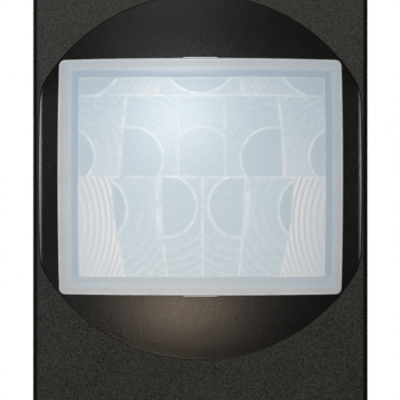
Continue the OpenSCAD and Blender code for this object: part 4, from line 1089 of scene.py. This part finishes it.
def make_floor():
    """Pale floor just under the switch."""
    bpy.ops.object.select_all(action="DESELECT")
    bpy.ops.mesh.primitive_circle_add(
        vertices=96, radius=FLOOR_R, fill_type="NGON", location=(0, 0, CAD_BOX[0][2] - FLOOR_GAP))
    floor = settle("floor")
    floor.data.materials.append(floor_finish())
    floor.visible_glossy = floor.visible_diffuse = False
    return floor


def make_room():
    """White surroundings, whose light and mirror image on the switch change from front to back."""
    world = bpy.data.worlds.new("studio")
    bpy.context.scene.world = world
    world.use_nodes = True
    tree = world.node_tree
    room = tree.nodes["Background"]
    room.inputs["Color"].default_value = WHITE
    rays = add(tree, "LightPath").outputs
    way = add(tree, "SeparateXYZ", Vector=add(tree, "TexCoord").outputs["Generated"]).outputs["Y"]
    shine = between(tree, way, low=0.35, high=0.8, a=0.05, b=1.0)
    spill = between(tree, way, low=-0.7, high=0.1, a=0.5, b=0.12)
    seen = add(tree, "Math", {"operation": "MAXIMUM"})
    wire(tree, seen, "0", rays["Is Glossy Ray"])
    wire(tree, seen, "1", rays["Is Transmission Ray"])
    level = mixed(tree, rays["Is Camera Ray"], mixed(tree, seen.outputs[0], spill, shine), 1.0)
    wire(tree, room, "Strength", level)


def make_lamps(plate, head, lens, copies, floor):
    """Soft lamps in front, cards that show in the gloss of some pieces alone, and lamps for the back."""
    lamp("key_lamp", (-0.06, -0.38, 0.168), FACE, size=0.2, power=0.875, colour=DAYLIGHT)
    lamp("front_fill", (-0.11, -0.33, -0.045), FACE, size=0.25, power=0.262, gloss=False)
    lamp("top_card", (-0.075, -0.06, 0.48), FACE, size=0.24, power=0.315, colour=CREAM, on=[head], matt=False)
    lamp("low_glow", GLOW_AT, LOW_DOME, size=0.035, tall=0.012, power=0.0148, colour=WARM, on=[head], matt=False)
    lamp("low_sheen", GLOW_AT, LOW_DOME, size=0.13, tall=0.02, power=0.0054, on=[head], matt=False)
    fill = lamp("low_fill", GLOW_AT, LOW_DOME, size=0.042, power=0.0018, colour=WARM, on=[lens], gloss=False)
    fill.data.spread = math.radians(FILL_SPREAD)
    lamp("left_card", (-0.57, 0.2, 0.04), FACE, size=0.2, power=1.75, on=[head], matt=False)
    lamp("right_card", (0.57, 0.2, 0.04), FACE, size=0.2, power=1.25, on=[head], matt=False)
    lamp("back_lamp", (0.4, 0.7, 0.5), MIDDLE, size=0.5, power=4.0)
    lamp("back_fill", (-0.6, 0.6, 0.3), MIDDLE, size=0.5, power=2.0)
    for side, power in ((-1, 1.7), (1, 2.0)):
        lamp("rear_lamp", (side * 0.62, 0.34, 0.12), (0, 0.01, 0), size=0.4, power=power, on=copies.values())
        lamp("side_lamp", (side * 0.4, 0.6, 0.1), MIDDLE, size=0.3, power=1.1, on=[plate])
    lamp("floor_lamp", (0.05, 0.1, 0.9), MIDDLE, size=0.5, power=4.0, on=[floor])
    bright = [copies["yoke"], copies["ground_screw"]]
    lamp("floor_card", (0, -0.36, -0.05), (0, -0.35, 1), size=0.6, power=0.8, on=bright, matt=False)
    lamp("front_card", (0, -0.9, 0.25), MIDDLE, size=1.2, power=2.4, on=bright, matt=False)


def make_camera():
    """Camera straight in front of the plate."""
    eye = bpy.data.cameras.new("front_camera")
    eye.sensor_width = SENSOR_WIDTH
    eye.lens = SENSOR_WIDTH * CAMERA_AWAY / FRAME_WIDTH
    camera = bpy.data.objects.new("front_camera", eye)
    bpy.context.collection.objects.link(camera)
    camera.location = (CAMERA_X, PLATE_Y - CAMERA_AWAY, CAMERA_Z)
    camera.rotation_euler = (math.pi / 2, 0, 0)
    bpy.context.scene.camera = camera
    bpy.context.scene.view_settings.view_transform = "Standard"


plate = make_plate()
head = make_head()
lens = make_lens()
springs = make_springs()
copies = {node: soften(node, name, width) for node, name, width in (
    ("yoke", "mounting_strap", 0.15 * MM),
    ("rear_housing", "rear_box", 0.3 * MM),
    ("chassis", "inner_frame", 0.15 * MM),
    ("housing_screws", "box_screws", 0.12 * MM),
    ("terminal_screws", "clamp_screws", 0.1 * MM),
    ("terminal_clamps", "wire_clamps", 0.1 * MM),
    ("terminal_plates", "contact_plates", 0.08 * MM),
    ("ground_screw", "earth_screw", 0.1 * MM))}
dress_box(copies["rear_housing"])

FINISHES = {
    "face_plastic": face_finish(),
    "head_plastic": moulded(
        "satin_dome", (3, 3, 3), (25, 25, 23), grain=0.2, depth=0.055, rough=(0.335, 0.395), gloss=0.4),
    "lens_plastic": lens_finish(),
    "grey_plastic": moulded("grey_chassis", (86, 87, 88), (99, 100, 101), grain=0.3, depth=0.02),
    "housing_plastic": moulded(
        "sparked_housing", (44, 45, 46), (70, 71, 72), grain=0.35, depth=0.03, rough=(0.42, 0.52)),
    "black_plastic": moulded("black_moulding", (20, 20, 20), (29, 29, 29), grain=0.2, depth=0.012),
    "white_plastic": moulded("white_moulding", (214, 213, 208), (226, 225, 221), grain=0.25, depth=0.01),
    "blue_plastic": moulded("blue_moulding", (28, 62, 128), (36, 74, 146), grain=0.25, depth=0.01),
    "yellow_plastic": moulded("yellow_case", (206, 172, 44), (219, 187, 60), grain=0.3, depth=0.015),
    "brown_plastic": moulded("brown_case", (74, 46, 32), (90, 57, 40), grain=0.3, depth=0.015),
    "sleeve_plastic": moulded(
        "shrunk_sleeve", (28, 34, 58), (37, 44, 72), grain=0.5, depth=0.02, rough=(0.24, 0.32)),
    "ferrite": moulded(
        "fired_ferrite", (38, 38, 40), (58, 58, 60), grain=0.18, depth=0.04, rough=(0.6, 0.75), gloss=0.4),
    "insulating_paper": paper_finish(),
    "board_laminate": board_finish(),
    "winding_tape": tape_finish(),
    "filter_glass": glass_finish("dark_filter", (30, 12, 14), rough=0.12),
    "led_resin": glass_finish("lamp_resin", (196, 38, 30), rough=0.25),
    "zinc_steel": plated("zinc_strap", (168, 170, 172), (196, 197, 196), rough=(0.26, 0.44), along=(1, 1, 0.08)),
    "spring_steel": plated("drawn_spring", (150, 150, 150), (186, 186, 184), rough=(0.2, 0.32)),
    "can_metal": plated("nickel_can", (188, 188, 186), (210, 209, 206), rough=(0.16, 0.28), along=(1, 0.1, 1)),
    "tinned_wire": plated("tinned_wire", (186, 187, 189), (208, 209, 210), rough=(0.25, 0.4), along=(1, 0.1, 1)),
    "brass_plate": plated("brass_plate", (196, 158, 84), (218, 182, 106), rough=(0.22, 0.38), along=(0.1, 1, 1)),
    "brass_screw": plated("brass_screw", (204, 164, 86), (226, 190, 112), rough=(0.18, 0.32), grain=0.12),
    "green_steel": plated("green_screw", (40, 112, 60), (66, 146, 84), rough=(0.24, 0.38)),
}
finer = {"front_cover": plate, "sensor_head": head, "fresnel_lens": lens, "return_springs": springs, **copies}
for node, slot in SLOTS.items():
    for piece in filter(None, (NODES[node], finer.get(node))):
        piece.data.materials.clear()
        piece.data.materials.append(FINISHES[slot])

floor = make_floor()
make_room()
make_lamps(plate, head, lens, copies, floor)
make_camera()
